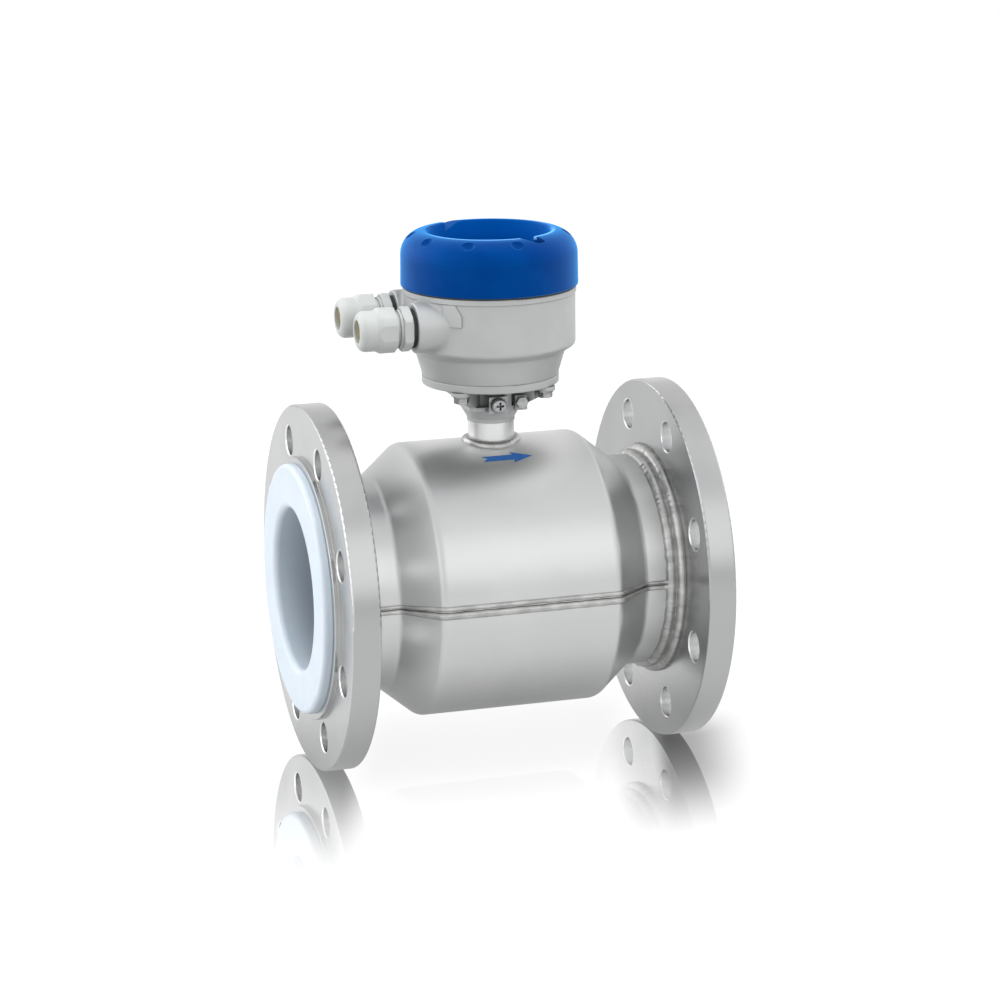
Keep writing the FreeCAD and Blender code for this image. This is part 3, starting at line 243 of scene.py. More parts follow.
# %% [markdown]
# ## A base for every finish
# Each finish starts from the same things: the place on the object in millimetres, split into x, y and z,
# and a Principled shader.
# Real edges are never knife sharp, so the Bevel node rounds what light sees of them. The finish's own
# relief is laid on top with a Bump node.

# %% Finish base
def rgba(red, green, blue):
    return (red, green, blue, 1.0)


class Finish(Bench):
    """A material with its Principled shader and the place on the object in millimetres."""

    def __init__(self, name, **constants):
        self.material = bpy.data.materials.new(name)
        self.material.use_nodes = True
        super().__init__(self.material.node_tree)
        self.shader = self.tree.nodes["Principled BSDF"]
        for key, value in constants.items():
            self.shader.inputs[key.replace("_", " ")].default_value = value
        self.place = self.scaled(self.add("ShaderNodeTexCoord")["Object"], 1 / MM)
        self.x, self.y, self.z = self.split(self.place)

    def set(self, name, value):
        """Feeds one socket of the Principled shader."""
        feed(self.tree, self.shader.inputs[name], value)

    def recess(self, distance, low=0.35):
        """From 0 in the open to 1 in corners whose open share is low, felt over a distance in mm, as a mask
        for painted shade.
        """
        open_air = self.add("ShaderNodeAmbientOcclusion", {"samples": 6}, {"Distance": distance * MM})["AO"]
        return open_air.rises(0.95, low)

    def relief(self, height, depth, edge, strength):
        """Bump of a height between 0 and 1, depth in millimetres, over edges rounded by a radius."""
        rounded = self.add("ShaderNodeBevel", {"samples": 4}, {"Radius": edge * MM})[0]
        sockets = {"Height": height, "Distance": depth * MM, "Strength": strength, "Normal": rounded}
        self.set("Normal", self.add("ShaderNodeBump", None, sockets)[0])


# %% [markdown]
# ## Turned steel
# The flanges are forged and then turned on a lathe, so both faces carry rings about the pipe axis and the
# rim carries fine lines round it.
# One stretched noise makes both: it changes quickly with the distance from the axis and along the axis, and
# slowly with the angle.
# The raised face has a real gasket finish, a row of concentric grooves 0.8 mm apart.
# The rim carries painted shade that makes it a little darker than the faces, except at its top, and so does
# the back of the outlet flange, least at its foot. The walls of the drilled holes carry painted light that
# makes them bright. These tones are painted to follow the light of the photograph.

# %% Turned steel for the flanges
full_turn = 2 * math.pi
flange_radius = 110.0
flange_front = 116.5
flange_back = 99.5
raised_face_radius = 79.0
flare_radius = 75.0
groove_pitch = 0.8
bolt_circle_radius = 90.0
bolt_count = 8
hole_radius = 9.0


def turned_steel():
    finish = Finish("turned_steel", Metallic=1.0)
    radius = (finish.y * finish.y + finish.z * finish.z).root()
    turn = finish.z.angle_to(finish.y)
    stretched = finish.point(finish.x * 1.3, radius * 1.3, turn * 0.8)
    lines = finish.noise(stretched, scale=1.0, detail=3.0, rough=0.6)
    clouds = finish.noise(finish.place, scale=0.022, detail=3.0, rough=0.55, seed=3.0)
    grain = finish.noise(finish.place, scale=1.6, detail=2.0, rough=0.6, seed=5.0)
    colour = finish.blend(clouds.rises(0.3, 0.7), rgba(0.50, 0.505, 0.51), rgba(0.57, 0.575, 0.57))
    raised = finish.x.size().rises(flange_front + 0.1, flange_front + 0.5)
    outside_flare = radius.rises(flare_radius + 0.1, flare_radius + 0.4)
    gasket_face = outside_flare * radius.rises(raised_face_radius, raised_face_radius - 0.2) * raised
    grooves = (radius * (full_turn / groove_pitch)).sine() * 0.5 + 0.5
    # A dotted dark ring beside the liner's flare is a painted shadow of the gap between the flare and the
    # raised face.
    gap_dot_place = finish.point(turn * 60, radius * 0.7, 0.0)
    gap_shadow_dots = finish.noise(gap_dot_place, scale=1.0, detail=1.0, rough=0.5, seed=9.0).rises(0.56, 0.66)
    beside_flare = radius.rises(flare_radius, flare_radius + 0.3)
    beside_flare = beside_flare * radius.rises(flare_radius + 1.6, flare_radius + 0.9)
    painted_gap_shadow = beside_flare * gap_shadow_dots * gasket_face
    rim = radius.rises(flange_radius - 1.4, flange_radius - 0.4)
    behind_faces = finish.x.rises(flange_back + 1.5, flange_back + 0.3) * (1.0 - rim)
    outlet_back = behind_faces * finish.x.rises(0.0, 10.0)
    # Painted shade on the rim and the outlet flange's back, and painted light on the walls of the holes.
    rim_with_painted_shade = finish.blend(rim * finish.z.rises(85.0, 45.0), colour, rgba(0.43, 0.435, 0.435))
    painted_back_shade = outlet_back * (finish.z.rises(-56.0, -44.0) * 0.34 + 0.10)
    shaded = finish.blend(painted_back_shade, rim_with_painted_shade, rgba(0.21, 0.215, 0.22))
    spread = ((turn * bolt_count).cosine() + 1.0).at_least(0.0) * 2.0
    sideways = spread.root() * (bolt_circle_radius / bolt_count)
    outwards = radius - bolt_circle_radius
    from_hole = (sideways * sideways + outwards * outwards).root()
    drilled = from_hole.rises(hole_radius + 1.0, hole_radius + 0.4)
    painted_hole_light = finish.blend(drilled, shaded, rgba(0.84, 0.845, 0.845))
    finish.set("Base Color", finish.blend(painted_gap_shadow * 0.8, painted_hole_light, rgba(0.16, 0.165, 0.17)))
    finish.set("Roughness", 0.20 + clouds * 0.10 + (lines - 0.5) * 0.10)
    height = lines * 0.5 + grain * 0.3 + grooves * gasket_face * 2.2
    finish.relief(height, depth=0.045, edge=0.45, strength=0.30)
    return finish.material


# %% [markdown]
# ## Sheet steel
# The housing is pressed from stainless sheet and blasted, which gives a soft even sheen.
# Pressing and welding leave the sheet a little wavy, so its highlights wander. That is a low, wide bump.
# Near the seam and the collars the sheet was ground, so it is a little smoother and lighter there. Round the
# foot of the neck the top of the barrel carries painted light, which makes it lightest there.

# %% Sheet steel for the housing and the neck
def sheet_steel():
    finish = Finish("sheet_steel", Metallic=1.0)
    clouds = finish.noise(finish.place, scale=0.016, detail=3.0, rough=0.5, seed=1.0)
    grain = finish.noise(finish.place, scale=2.4, detail=3.0, rough=0.6, seed=2.0)
    stretched = finish.point(finish.x * 0.9, finish.y, finish.z * 1.2)
    waves = finish.noise(stretched, scale=0.035, detail=1.0, rough=0.4, seed=4.0)
    strokes = finish.point(finish.x * 2.0, finish.y * 0.25, finish.z * 0.12)
    brushing = finish.noise(strokes, scale=1.0, detail=3.0, rough=0.6, seed=6.0)
    beside_seam = finish.z.size().rises(13.0, 5.0)
    beside_collar = finish.x.size().rises(80.0, 90.0)
    ground = beside_seam.at_least(beside_collar * 0.6)
    tone = clouds.rises(0.3, 0.72) * 0.7 + ground * 0.25
    colour = finish.blend(tone, rgba(0.56, 0.57, 0.57), rgba(0.62, 0.625, 0.62))
    from_neck = (finish.x * finish.x + finish.y * finish.y).root()
    painted_top_light = from_neck.rises(64.0, 38.0) * finish.z.rises(52.0, 70.0)
    lighter = finish.blend(painted_top_light * 0.8, colour, rgba(0.85, 0.855, 0.85))
    # Painted shade darkens the sheet a little where neighbouring parts close round it.
    shade = finish.recess(28.0, low=0.4) * 0.12
    finish.set("Base Color", finish.blend(shade, lighter, rgba(0.25, 0.255, 0.26)))
    finish.set("Roughness", 0.33 + clouds * 0.10 + (brushing - 0.5) * 0.08 - ground * 0.04)
    finish.relief(waves * 4.5 + grain * 0.10 + brushing * 0.08, depth=0.16, edge=0.5, strength=0.5)
    return finish.material


# %% [markdown]
# ## Weld metal
# A weld bead freezes from liquid, so it is smoother than the sheet beside it. Its tone changes along the
# bead, as some stretches were brushed and others weren't, and it has small pits.

# %% Weld metal
def weld_metal():
    finish = Finish("weld_metal", Metallic=1.0)
    clouds = finish.noise(finish.place, scale=0.12, detail=2.0, rough=0.5, seed=8.0)
    grain = finish.noise(finish.place, scale=1.1, detail=3.0, rough=0.55, seed=7.0)
    colour = finish.blend(clouds.rises(0.35, 0.7), rgba(0.38, 0.38, 0.375), rgba(0.53, 0.53, 0.52))
    finish.set("Base Color", colour)
    finish.set("Roughness", 0.26 + clouds * 0.16)
    finish.relief(grain, depth=0.08, edge=0.5, strength=0.4)
    return finish.material


# %% [markdown]
# ## Painted casting
# The connection box and the adapter are die castings with a light grey powder coat.
# Powder melts into a skin with a fine orange peel about a millimetre wide. It holds metal flakes, so it
# mirrors a little, and painted shade darkens the corners that light hardly reaches.

# %% Grey paint on the castings
def casting_paint():
    finish = Finish("casting_paint", Specular_IOR_Level=0.25)
    peel = finish.noise(finish.place, scale=0.9, detail=2.0, rough=0.5, seed=1.0)
    clouds = finish.noise(finish.place, scale=0.03, detail=3.0, rough=0.6, seed=2.0)
    specks = finish.noise(finish.place, scale=3.5, detail=1.0, rough=0.5, seed=3.0).rises(0.62, 0.72)
    colour = finish.blend(clouds.rises(0.3, 0.7), rgba(0.375, 0.385, 0.385), rgba(0.415, 0.425, 0.425))
    shaded = finish.blend(finish.recess(10.0) * 0.6, colour, rgba(0.11, 0.115, 0.115))
    finish.set("Base Color", finish.blend(specks * 0.35, shaded, rgba(0.52, 0.525, 0.52)))
    finish.set("Metallic", 0.38 + specks * 0.3)
    finish.set("Roughness", 0.40 + peel * 0.10)
    finish.relief(peel, depth=0.05, edge=0.5, strength=0.35)
    return finish.material


# %% [markdown]
# ## Blue cover
# The screw cover has a powder coat in a strong blue. At a flat angle it shimmers azure, which is its sheen.
# Inside the opening the coat carries painted light, and a pale band stands for the light that the near edge
# of the opening catches in the photograph. Painted shade darkens corners that light hardly reaches.

# %% Blue paint on the cover
cover_top = 210.0
opening_radius = 37.0


def cover_paint():
    azure = rgba(0.04, 0.42, 1.0)
    coat = {"Metallic": 0.30, "Specular_IOR_Level": 0.2, "Specular_Tint": azure}
    sheen = {"Sheen_Weight": 0.95, "Sheen_Roughness": 0.36, "Sheen_Tint": azure}
    finish = Finish("cover_paint", **coat, **sheen)
    peel = finish.noise(finish.place, scale=0.7, detail=2.0, rough=0.5, seed=4.0)
    clouds = finish.noise(finish.place, scale=0.04, detail=2.0, rough=0.5, seed=5.0)
    radius = (finish.x * finish.x + finish.y * finish.y).root()
    colour = finish.blend(clouds.rises(0.3, 0.7), rgba(0.0, 0.030, 0.17), rgba(0.0, 0.039, 0.20))
    above_seal = finish.z.rises(cover_top - 20.0, cover_top - 18.0)
    # Painted light inside the opening.
    opening = radius.rises(opening_radius + 0.6, opening_radius) * above_seal
    lighter = finish.blend(opening, colour, rgba(0.0, 0.075, 0.32))
    near_side = finish.y.rises(5.0, -25.0)
    at_top = finish.z.rises(cover_top - 2.4, cover_top - 1.2)
    lip = radius.rises(opening_radius + 3.2, opening_radius + 1.8) * at_top
    lit = finish.blend(lip * near_side * 0.9, lighter, rgba(0.26, 0.54, 0.92))
    # Painted shade in corners that light hardly reaches.
    finish.set("Base Color", finish.blend(finish.recess(5.0) * 0.6, lit, rgba(0.0, 0.016, 0.085)))
    finish.set("Roughness", 0.42 + peel * 0.10)
    finish.relief(peel, depth=0.05, edge=0.6, strength=0.35)
    return finish.material


# %% [markdown]
# ## Plastics and rubbers
# Small moulded pieces differ in colour, roughness and grain, and one function makes them all.
# The grain is a noise in the relief, and a slow noise shades the colour a little, as in real mouldings.

# %% Moulded finishes
def moulded(name, colour, roughness, grain_scale, grain_depth, contrast=0.08):
    """Finish with one colour and roughness, a grain's scale and depth, and how much the colour varies."""
    finish = Finish(name)
    grain = finish.noise(finish.place, scale=grain_scale, detail=3.0, rough=0.6, seed=len(name))
    clouds = finish.noise(finish.place, scale=0.09, detail=2.0, rough=0.5, seed=len(name) + 1)
    darker = rgba(*[value * (1 - contrast) for value in colour])
    lighter = rgba(*[min(1.0, value * (1 + contrast)) for value in colour])
    finish.set("Base Color", finish.blend(clouds.rises(0.3, 0.7), darker, lighter))
    finish.set("Roughness", roughness + (grain - 0.5) * 0.12)
    finish.relief(grain, depth=grain_depth, edge=0.25, strength=0.5)
    return finish.material


# %% [markdown]
# ## Small metal pieces
# Bolts, screws and the earth clamp are zinc plated, darker and cooler than stainless steel, and painted shade
# makes them nearly black in deep corners such as the cross of the earth screw.
# The coils are wound from copper wire, so their relief is a row of fine rings, and the cores are dull iron.

# %% Zinc, copper and iron
def zinc_plate():
    finish = Finish("zinc_plate", Metallic=1.0)
    clouds = finish.noise(finish.place, scale=0.5, detail=3.0, rough=0.6, seed=1.0)
    grain = finish.noise(finish.place, scale=3.0, detail=2.0, rough=0.5, seed=2.0)
    colour = finish.blend(clouds.rises(0.35, 0.7), rgba(0.34, 0.35, 0.355), rgba(0.50, 0.51, 0.51))
    shade = finish.recess(4.0, low=0.45) * 0.85
    finish.set("Base Color", finish.blend(shade, colour, rgba(0.035, 0.035, 0.04)))
    finish.set("Roughness", 0.26 + clouds * 0.16)
    finish.relief(grain, depth=0.03, edge=0.2, strength=0.5)
    return finish.material


wire_pitch = 0.5


def wound_copper():
    finish = Finish("wound_copper", Metallic=1.0)
    rings = (finish.z * (full_turn / wire_pitch)).sine() * 0.5 + 0.5
    clouds = finish.noise(finish.place, scale=0.2, detail=2.0, rough=0.5, seed=1.0)
    finish.set("Base Color", finish.blend(rings, rgba(0.30, 0.11, 0.05), rgba(0.62, 0.28, 0.13)))
    finish.set("Roughness", 0.30 + clouds * 0.15)
    finish.relief(rings, depth=0.15, edge=0.1, strength=0.6)
    return finish.material


def core_iron():
    finish = Finish("core_iron", Metallic=1.0)
    clouds = finish.noise(finish.place, scale=0.15, detail=4.0, rough=0.6, seed=1.0)
    colour = finish.blend(clouds.rises(0.3, 0.7), rgba(0.22, 0.22, 0.23), rgba(0.32, 0.33, 0.34))
    finish.set("Base Color", colour)
    finish.set("Roughness", 0.42 + clouds * 0.2)
    finish.relief(clouds, depth=0.08, edge=0.3, strength=0.5)
    return finish.material


# %% [markdown]
# ## Liner
# The liner is a smooth milky fluoroplastic. Light goes a little way into it, so it gets some subsurface
# scattering, and its rolled flare is very slightly uneven. Inside the bore a painted shade makes it darker
# than on the flare.

# %% Milky liner
half_length = 125.0
bore_radius = 48.5


def milky_liner():
    finish = Finish("milky_liner", Subsurface_Weight=0.25, Subsurface_Scale=4 * MM)
    waves = finish.noise(finish.place, scale=0.05, detail=2.0, rough=0.5, seed=2.0)
    grain = finish.noise(finish.place, scale=1.5, detail=2.0, rough=0.5, seed=3.0)
    radius = (finish.y * finish.y + finish.z * finish.z).root()
    inwards = finish.x.size().rises(half_length - 2.0, half_length - 25.0)
    painted_bore_shade = radius.rises(bore_radius + 3.5, bore_radius - 0.5) * inwards
    outside = finish.blend(waves.rises(0.3, 0.7), rgba(0.46, 0.525, 0.59), rgba(0.49, 0.555, 0.62))
    finish.set("Base Color", finish.blend(painted_bore_shade * 0.85, outside, rgba(0.28, 0.32, 0.37)))
    finish.set("Roughness", 0.34 + grain * 0.08)
    finish.relief(waves * 2.0 + grain * 0.1, depth=0.12, edge=0.6, strength=0.5)
    return finish.material


# %% [markdown]
# ## All finishes together
# A dictionary holds one material for each slot name of the record. The numbers of a moulded finish are its
# colour, its roughness, the scale and depth of its grain, and for some how much the colour varies.

# %% Make one material for each finish
finishes = {
    "flange_steel": turned_steel(),
    "housing_steel": sheet_steel(),
    "weld_steel": weld_metal(),
    "liner": milky_liner(),
    "zinc_steel": zinc_plate(),
    "box_casting": casting_paint(),
    "cover_blue": cover_paint(),
    "seal_black": moulded("seal_rubber", (0.018, 0.018, 0.02), 0.62, 1.2, 0.05, 0.2),
    "gland_plastic": moulded("gland_plastic", (0.385, 0.40, 0.39), 0.45, 1.0, 0.03, 0.03),
    "insert_olive": moulded("insert_rubber", (0.74, 0.60, 0.07), 0.5, 0.8, 0.05, 0.12),
    "terminal_plastic": moulded("terminal_plastic", (0.40, 0.42, 0.41), 0.45, 1.0, 0.04),
    "plate_plastic": moulded("plate_plastic", (0.03, 0.03, 0.03), 0.5, 1.4, 0.05, 0.2),
    "bushing_plastic": moulded("bushing_plastic", (0.70, 0.67, 0.58), 0.45, 1.0, 0.04),
    "copper": wound_copper(),
    "core_iron": core_iron(),
    "lead_sleeve": moulded("lead_sleeve", (0.05, 0.05, 0.06), 0.45, 0.8, 0.04, 0.2),
    "arrow_blue": moulded("arrow_film", (0.004, 0.075, 0.27), 0.38, 0.6, 0.02, 0.06),
}
print("finishes", len(finishes))

# %% [markdown]
# ## Dressing the solids
# Each solid of the frame names its finish in the record, so one loop gives every node its material.
# The shape of a node is never touched, only its material slots.

# %% Give every node its finish
for part in frame["record"]["subparts"]:
    solid = frame["nodes"][part["node"]]
    material = finishes[part["material_slot"]]
    if len(solid.material_slots) == 0:
        solid.data.materials.append(material)
    for holder in solid.material_slots:
        holder.material = material

# %% [markdown]
# ## Plain meshes from geometry trees
# A tree is built once with named sizes and run with other values for each place.
# The result is turned into a plain mesh, its doubles are merged, its faces pointed outwards and its
# material put in the only slot, so that nothing depends on the tree afterwards.

# %% Helpers for geometry trees
merge_distance = 0.001 * MM


class Shape(Bench):
    """A geometry tree with named sizes, which ends in Realize Instances and Set Material."""

    def __init__(self, name, sizes, takes_geometry=False):
        super().__init__(bpy.data.node_groups.new(name, "GeometryNodeTree"))
        face = self.tree.interface
        if takes_geometry:
            face.new_socket(name="Path", in_out="INPUT", socket_type="NodeSocketGeometry")
        for key, value in sizes.items():
            kind = "NodeSocketInt" if isinstance(value, int) else "NodeSocketFloat"
            face.new_socket(name=key, in_out="INPUT", socket_type=kind).default_value = value
        face.new_socket(name="Result", in_out="OUTPUT", socket_type="NodeSocketGeometry")
        self.given = self.add("NodeGroupInput")

    def end(self, geometry, material):
        realized = self.add("GeometryNodeRealizeInstances", None, {"Geometry": geometry})[0]
        coloured = self.add("GeometryNodeSetMaterial", None, {"Geometry": realized, "Material": material})[0]
        self.add("NodeGroupOutput", None, {"Result": coloured})
        return self.tree


def run_tree(name, tree, sizes, path=None):
    """Runs a tree with these sizes and returns a clean plain mesh object."""
    host_data = path if path is not None else bpy.data.meshes.new(name + "_host")
    host = bpy.data.objects.new(name + "_host", host_data)
    bpy.context.scene.collection.objects.link(host)
    modifier = host.modifiers.new("shape", "NODES")
    modifier.node_group = tree
    for item in tree.interface.items_tree:
        if item.name in sizes:
            modifier[item.identifier] = sizes[item.name]
    host.update_tag()
    bpy.context.view_layer.update()
    evaluated = host.evaluated_get(bpy.context.evaluated_depsgraph_get())
    mesh = bpy.data.meshes.new_from_object(evaluated)
    bpy.data.objects.remove(host)
    clean = bmesh.new()
    clean.from_mesh(mesh)
    bmesh.ops.remove_doubles(clean, verts=clean.verts, dist=merge_distance)
    bmesh.ops.recalc_face_normals(clean, faces=clean.faces)
    clean.to_mesh(mesh)
    clean.free()
    mesh.name = name
    mesh.shade_smooth()
    one_material(mesh, [material for material in mesh.materials if material][0])
    return bpy.data.objects.new(name, mesh)


def one_material(mesh, material):
    """Leaves this material as the only slot of a mesh, on all its faces."""
    mesh.materials.clear()
    mesh.materials.append(material)
    for face in mesh.polygons:
        face.material_index = 0


def join(name, pieces, material):
    """One mesh object from several made pieces of one finish."""
    joined = bmesh.new()
    for piece in pieces:
        joined.from_mesh(piece.data)
    mesh = bpy.data.meshes.new(name)
    joined.to_mesh(mesh)
    joined.free()
    mesh.shade_smooth()
    one_material(mesh, material)
    made = bpy.data.objects.new(name, mesh)
    for piece in pieces:
        bpy.data.objects.remove(piece)
    return made


def install(piece, body, slot_name, *nodes):
    """Puts a piece in the scene, on its body, in place of the nodes that it stands for."""
    bpy.context.scene.collection.objects.link(piece)
    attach(piece, body)
    if nodes:
        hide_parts(*nodes)
    print(piece.name, len(piece.data.polygons), "faces")


# %% [markdown]
# ## Weld beads that go round
# A bead round a tube is a ring with a flat oval section. The welder's hand shows as crescent ripples and as
# a width that wanders a little.
# A grid is wrapped into that ring by plain sums: u goes round the tube and v round the oval. They give how
# far each point lies across the bead and how far above its middle.

# %% The oval that goes round
crescent_bend = 2.2
bead_sizes = {
    "Around": 720,
    "Across": 15,
    "Ring radius": 70.0,
    "Half width": 3.0,
    "Half height": 2.0,
    "Ripples": 120,
    "Ripple depth": 0.15,
    "Wander": 0.3,
    "Seed": 1.0,
}


def bead_surface(shape, noise_radius, sway_scale):
    """The grid of a bead, its angle round the tube, and the two places of its points in the section."""
    given = shape.given
    grid = shape.add("GeometryNodeMeshGrid", None, {
        "Size X": 1.0,
        "Size Y": 1.0,
        "Vertices X": given["Around"],
        "Vertices Y": given["Across"],
    })["Mesh"]
    spot = shape.split(shape.add("GeometryNodeInputPosition")[0])
    u = (spot[0] + 0.5) * full_turn
    v = (spot[1] + 0.5) * full_turn
    circle = shape.point(u.cosine() * noise_radius, u.sine() * noise_radius, 0.0)
    wander = shape.noise(circle, scale=1.0, detail=2.0, rough=0.6, seed=given["Seed"]) - 0.5
    sway = shape.noise(circle, scale=sway_scale, detail=1.0, rough=0.5, seed=given["Seed"] + 7.0) - 0.5
    crown = v.sine().at_least(0.0)
    phase = u * given["Ripples"] + v.cosine() * v.cosine() * crescent_bend
    ripple = phase.sine() * given["Ripple depth"] * crown
    swelling = 1.0 + wander * given["Wander"]
    across = given["Half width"] * swelling * v.cosine() + sway * given["Wander"] * 2.0
    rise = given["Half height"] * swelling * v.sine() + ripple
    return grid, u, across, rise


def finish_bead(shape, grid, point):
    """Moves the grid to these points, in millimetres, and ends the tree."""
    sockets = {"Geometry": grid, "Position": shape.scaled(point, MM)}
    return shape.end(shape.add("GeometryNodeSetPosition", None, sockets)[0], finishes["weld_steel"])


# %% [markdown]
# The bead at the foot of the neck lies flat with its oval standing on it, and its ring follows the curve of
# the barrel like a saddle.
# Round the collars the bead stands outwards instead, so there the oval's rise adds to the radius and its
# width runs along the pipe.

# %% Trees for the two kinds of bead
barrel_radius = 82.6


def ring_bead_tree():
    shape = Shape("ring_bead", {**bead_sizes, "Centre height": 0.0, "Saddle radius": 0.0})
    given = shape.given
    grid, u, across, rise = bead_surface(shape, noise_radius=9.0, sway_scale=0.8)
    reach = given["Ring radius"] + across
    x = reach * u.cosine()
    y = reach * u.sine()
    saddle = (given["Saddle radius"] * given["Saddle radius"] - y * y).at_least(0.0).root()
    return finish_bead(shape, grid, shape.point(x, y, given["Centre height"] + saddle + rise))


def collar_bead_tree():
    shape = Shape("collar_bead", {**bead_sizes, "Place": 90.0})
    given = shape.given
    grid, u, along, rise = bead_surface(shape, noise_radius=12.0, sway_scale=0.7)
    reach = given["Ring radius"] + rise
    return finish_bead(shape, grid, shape.point(given["Place"] + along, reach * u.cosine(), reach * u.sine()))


ring_bead = ring_bead_tree()
collar_bead = collar_bead_tree()

# %% [markdown]
# Each collar has two beads: a wide one on the edge of the sheet, and a fillet against the flange's back.

# %% Collar welds
for end, sign in (("inlet", -1), ("outlet", 1)):
    edge_bead = run_tree(end + "_edge_bead", collar_bead, {
        "Place": sign * 92.6,
        "Ring radius": 64.1,
        "Half width": 3.9,
        "Half height": 3.4,
        "Ripples": 132,
        "Ripple depth": 0.07,
        "Wander": 0.5,
        "Seed": 2.0 + sign,
    })
    back_bead = run_tree(end + "_back_bead", collar_bead, {
        "Place": sign * 98.3,
        "Ring radius": 65.9,
        "Half width": 3.6,
        "Half height": 4.6,
        "Ripples": 118,
        "Ripple depth": 0.06,
        "Wander": 0.4,
        "Seed": 11.0 + sign,
    })
    both = join(end + "_collar_beads", [edge_bead, back_bead], finishes["weld_steel"])
    install(both, "sensor", "weld_steel", end + "_collar_weld")

# %% Weld at the foot of the neck
neck_bead = run_tree("neck_foot_bead", ring_bead, {
    "Around": 360,
    "Ring radius": 14.9,
    "Centre height": -0.2,
    "Half width": 3.0,
    "Half height": 3.1,
    "Ripples": 34,
    "Ripple depth": 0.05,
    "Wander": 0.2,
    "Saddle radius": barrel_radius,
    "Seed": 5.0,
})
install(neck_bead, "sensor", "weld_steel", "neck_weld")

# %% [markdown]
# ## The seam along the housing
# The two pressed halves meet in a seam: a thin bead above a wider one with a groove between them, which
# follow the barrel, bend over each shoulder and run down the cone to the collar.
# The side line of the housing is worked out from its sizes, with its corners rounded, and becomes a curve.
# The tree sweeps the two beads along it, lets them swell and ripple a little, thickens them into a lump
# where they meet the collar's weld, and draws them closer together down the cone.

# %% The housing's side line
barrel_half_length = 54.0
cone_length = 22.0
collar_radius = 64.5
shoulder_rounding = 7.0
foot_rounding = 5.0
seam_end = 93.5
lump_length = 7.0
arc_steps = 8


def rounded_line(points):
    """Points of a line whose corners (x, y, rounding) are replaced by arcs."""
    line = [Vector(points[0][:2])]
    for before, corner, after in zip(points, points[1:], points[2:]):
        middle = Vector(corner[:2])
        to_before = (Vector(before[:2]) - middle).normalized()
        to_after = (Vector(after[:2]) - middle).normalized()
        half = to_before.angle(to_after) / 2
        centre = middle + (to_before + to_after).normalized() * (corner[2] / math.sin(half))
        first = middle + to_before * (corner[2] / math.tan(half)) - centre
        last = middle + to_after * (corner[2] / math.tan(half)) - centre
        for step in range(arc_steps + 1):
            line.append(centre + first.lerp(last, step / arc_steps).normalized() * corner[2])
    line.append(Vector(points[-1][:2]))
    return line


half_line = rounded_line([
    (0, barrel_radius),
    (barrel_half_length, barrel_radius, shoulder_rounding),
    (barrel_half_length + cone_length, collar_radius, foot_rounding),
    (seam_end, collar_radius),
])
side_line = [Vector((-point.x, point.y)) for point in half_line[:0:-1]] + half_line
print("side line", len(side_line), "points")


# %% Tree for the seam
def seam_tree():
    shape = Shape("seam", {
        "Upper radius": 1.5,
        "Upper place": 2.6,
        "Lower radius": 2.3,
        "Lower place": -1.6,
        "Narrowing": 0.3,
        "Step": 0.7,
        "Wander": 0.3,
        "Lump": 0.55,
        "Seed": 3.0,
    }, takes_geometry=True)
    given = shape.given
    path = shape.add("GeometryNodeResampleCurve", {"mode": "LENGTH"}, {
        "Curve": given["Path"],
        "Length": given["Step"] * MM,
    })[0]
    upright = shape.add("GeometryNodeSetCurveNormal", {"mode": "Z_UP"}, {"Curve": path})[0]
    beads = shape.add("GeometryNodeJoinGeometry")
    for word in ("Upper", "Lower"):
        circle = shape.add("GeometryNodeCurvePrimitiveCircle", {"mode": "RADIUS"}, {
            "Resolution": 14,
            "Radius": given[word + " radius"] * MM,
        })["Curve"]
        offset = shape.point(0.0, given[word + " place"] * -MM, 0.0)
        moved = shape.add("GeometryNodeTransform", None, {"Geometry": circle, "Translation": offset})[0]
        feed(shape.tree, beads.node.inputs[0], moved)
    swept = shape.add("GeometryNodeCurveToMesh", None, {
        "Curve": upright,
        "Profile Curve": beads[0],
        "Fill Caps": True,
    })[0]
    spot = shape.add("GeometryNodeInputPosition")[0]
    swell = shape.noise(spot, scale=130.0, detail=2.0, rough=0.5, seed=given["Seed"]) - 0.5
    ripple = shape.noise(spot, scale=420.0, detail=1.0, rough=0.5, seed=given["Seed"] + 4.0) - 0.5
    out = shape.add("GeometryNodeInputNormal")[0]
    near_end = shape.split(spot)[0].size().rises((seam_end - lump_length) * MM, (seam_end - 1.0) * MM)
    lump = near_end * given["Lump"]
    push = (swell * given["Wander"] + ripple * given["Wander"] * 0.5 + lump) * (2 * MM)
    offset = shape.scaled(out, push)
    moved = shape.add("GeometryNodeSetPosition", None, {"Geometry": swept, "Offset": offset})[0]
    x, y, z = shape.split(shape.add("GeometryNodeInputPosition")[0])
    end = x.size().rises(barrel_half_length * MM, (barrel_half_length + cone_length) * MM)
    squeezed = shape.point(x, y, z * (1.0 - end * given["Narrowing"]))
    narrowed = shape.add("GeometryNodeSetPosition", None, {"Geometry": moved, "Position": squeezed})[0]
    return shape.end(narrowed, finishes["weld_steel"])


seam = seam_tree()

# %% Front and rear seam
seam_sink = 0.15
for word, sign in (("front", -1), ("rear", 1)):
    path = bpy.data.curves.new(word + "_seam_path", "CURVE")
    path.dimensions = "3D"
    run = path.splines.new("POLY")
    run.points.add(len(side_line) - 1)
    for spot, point in zip(run.points, side_line):
        spot.co = (point.x * MM, sign * (point.y - seam_sink) * MM, 0, 1)
    beads = run_tree(word + "_seam_beads", seam, {"Seed": 3.0 + sign}, path)
    install(beads, "sensor", "weld_steel", word + "_seam_weld")

# %% [markdown]
# ## Gland threads
# Between its hexagon and the dome nut each gland shows a little of its thread. A spiral with a small round
# section makes the crests, just proud of the sleeve.

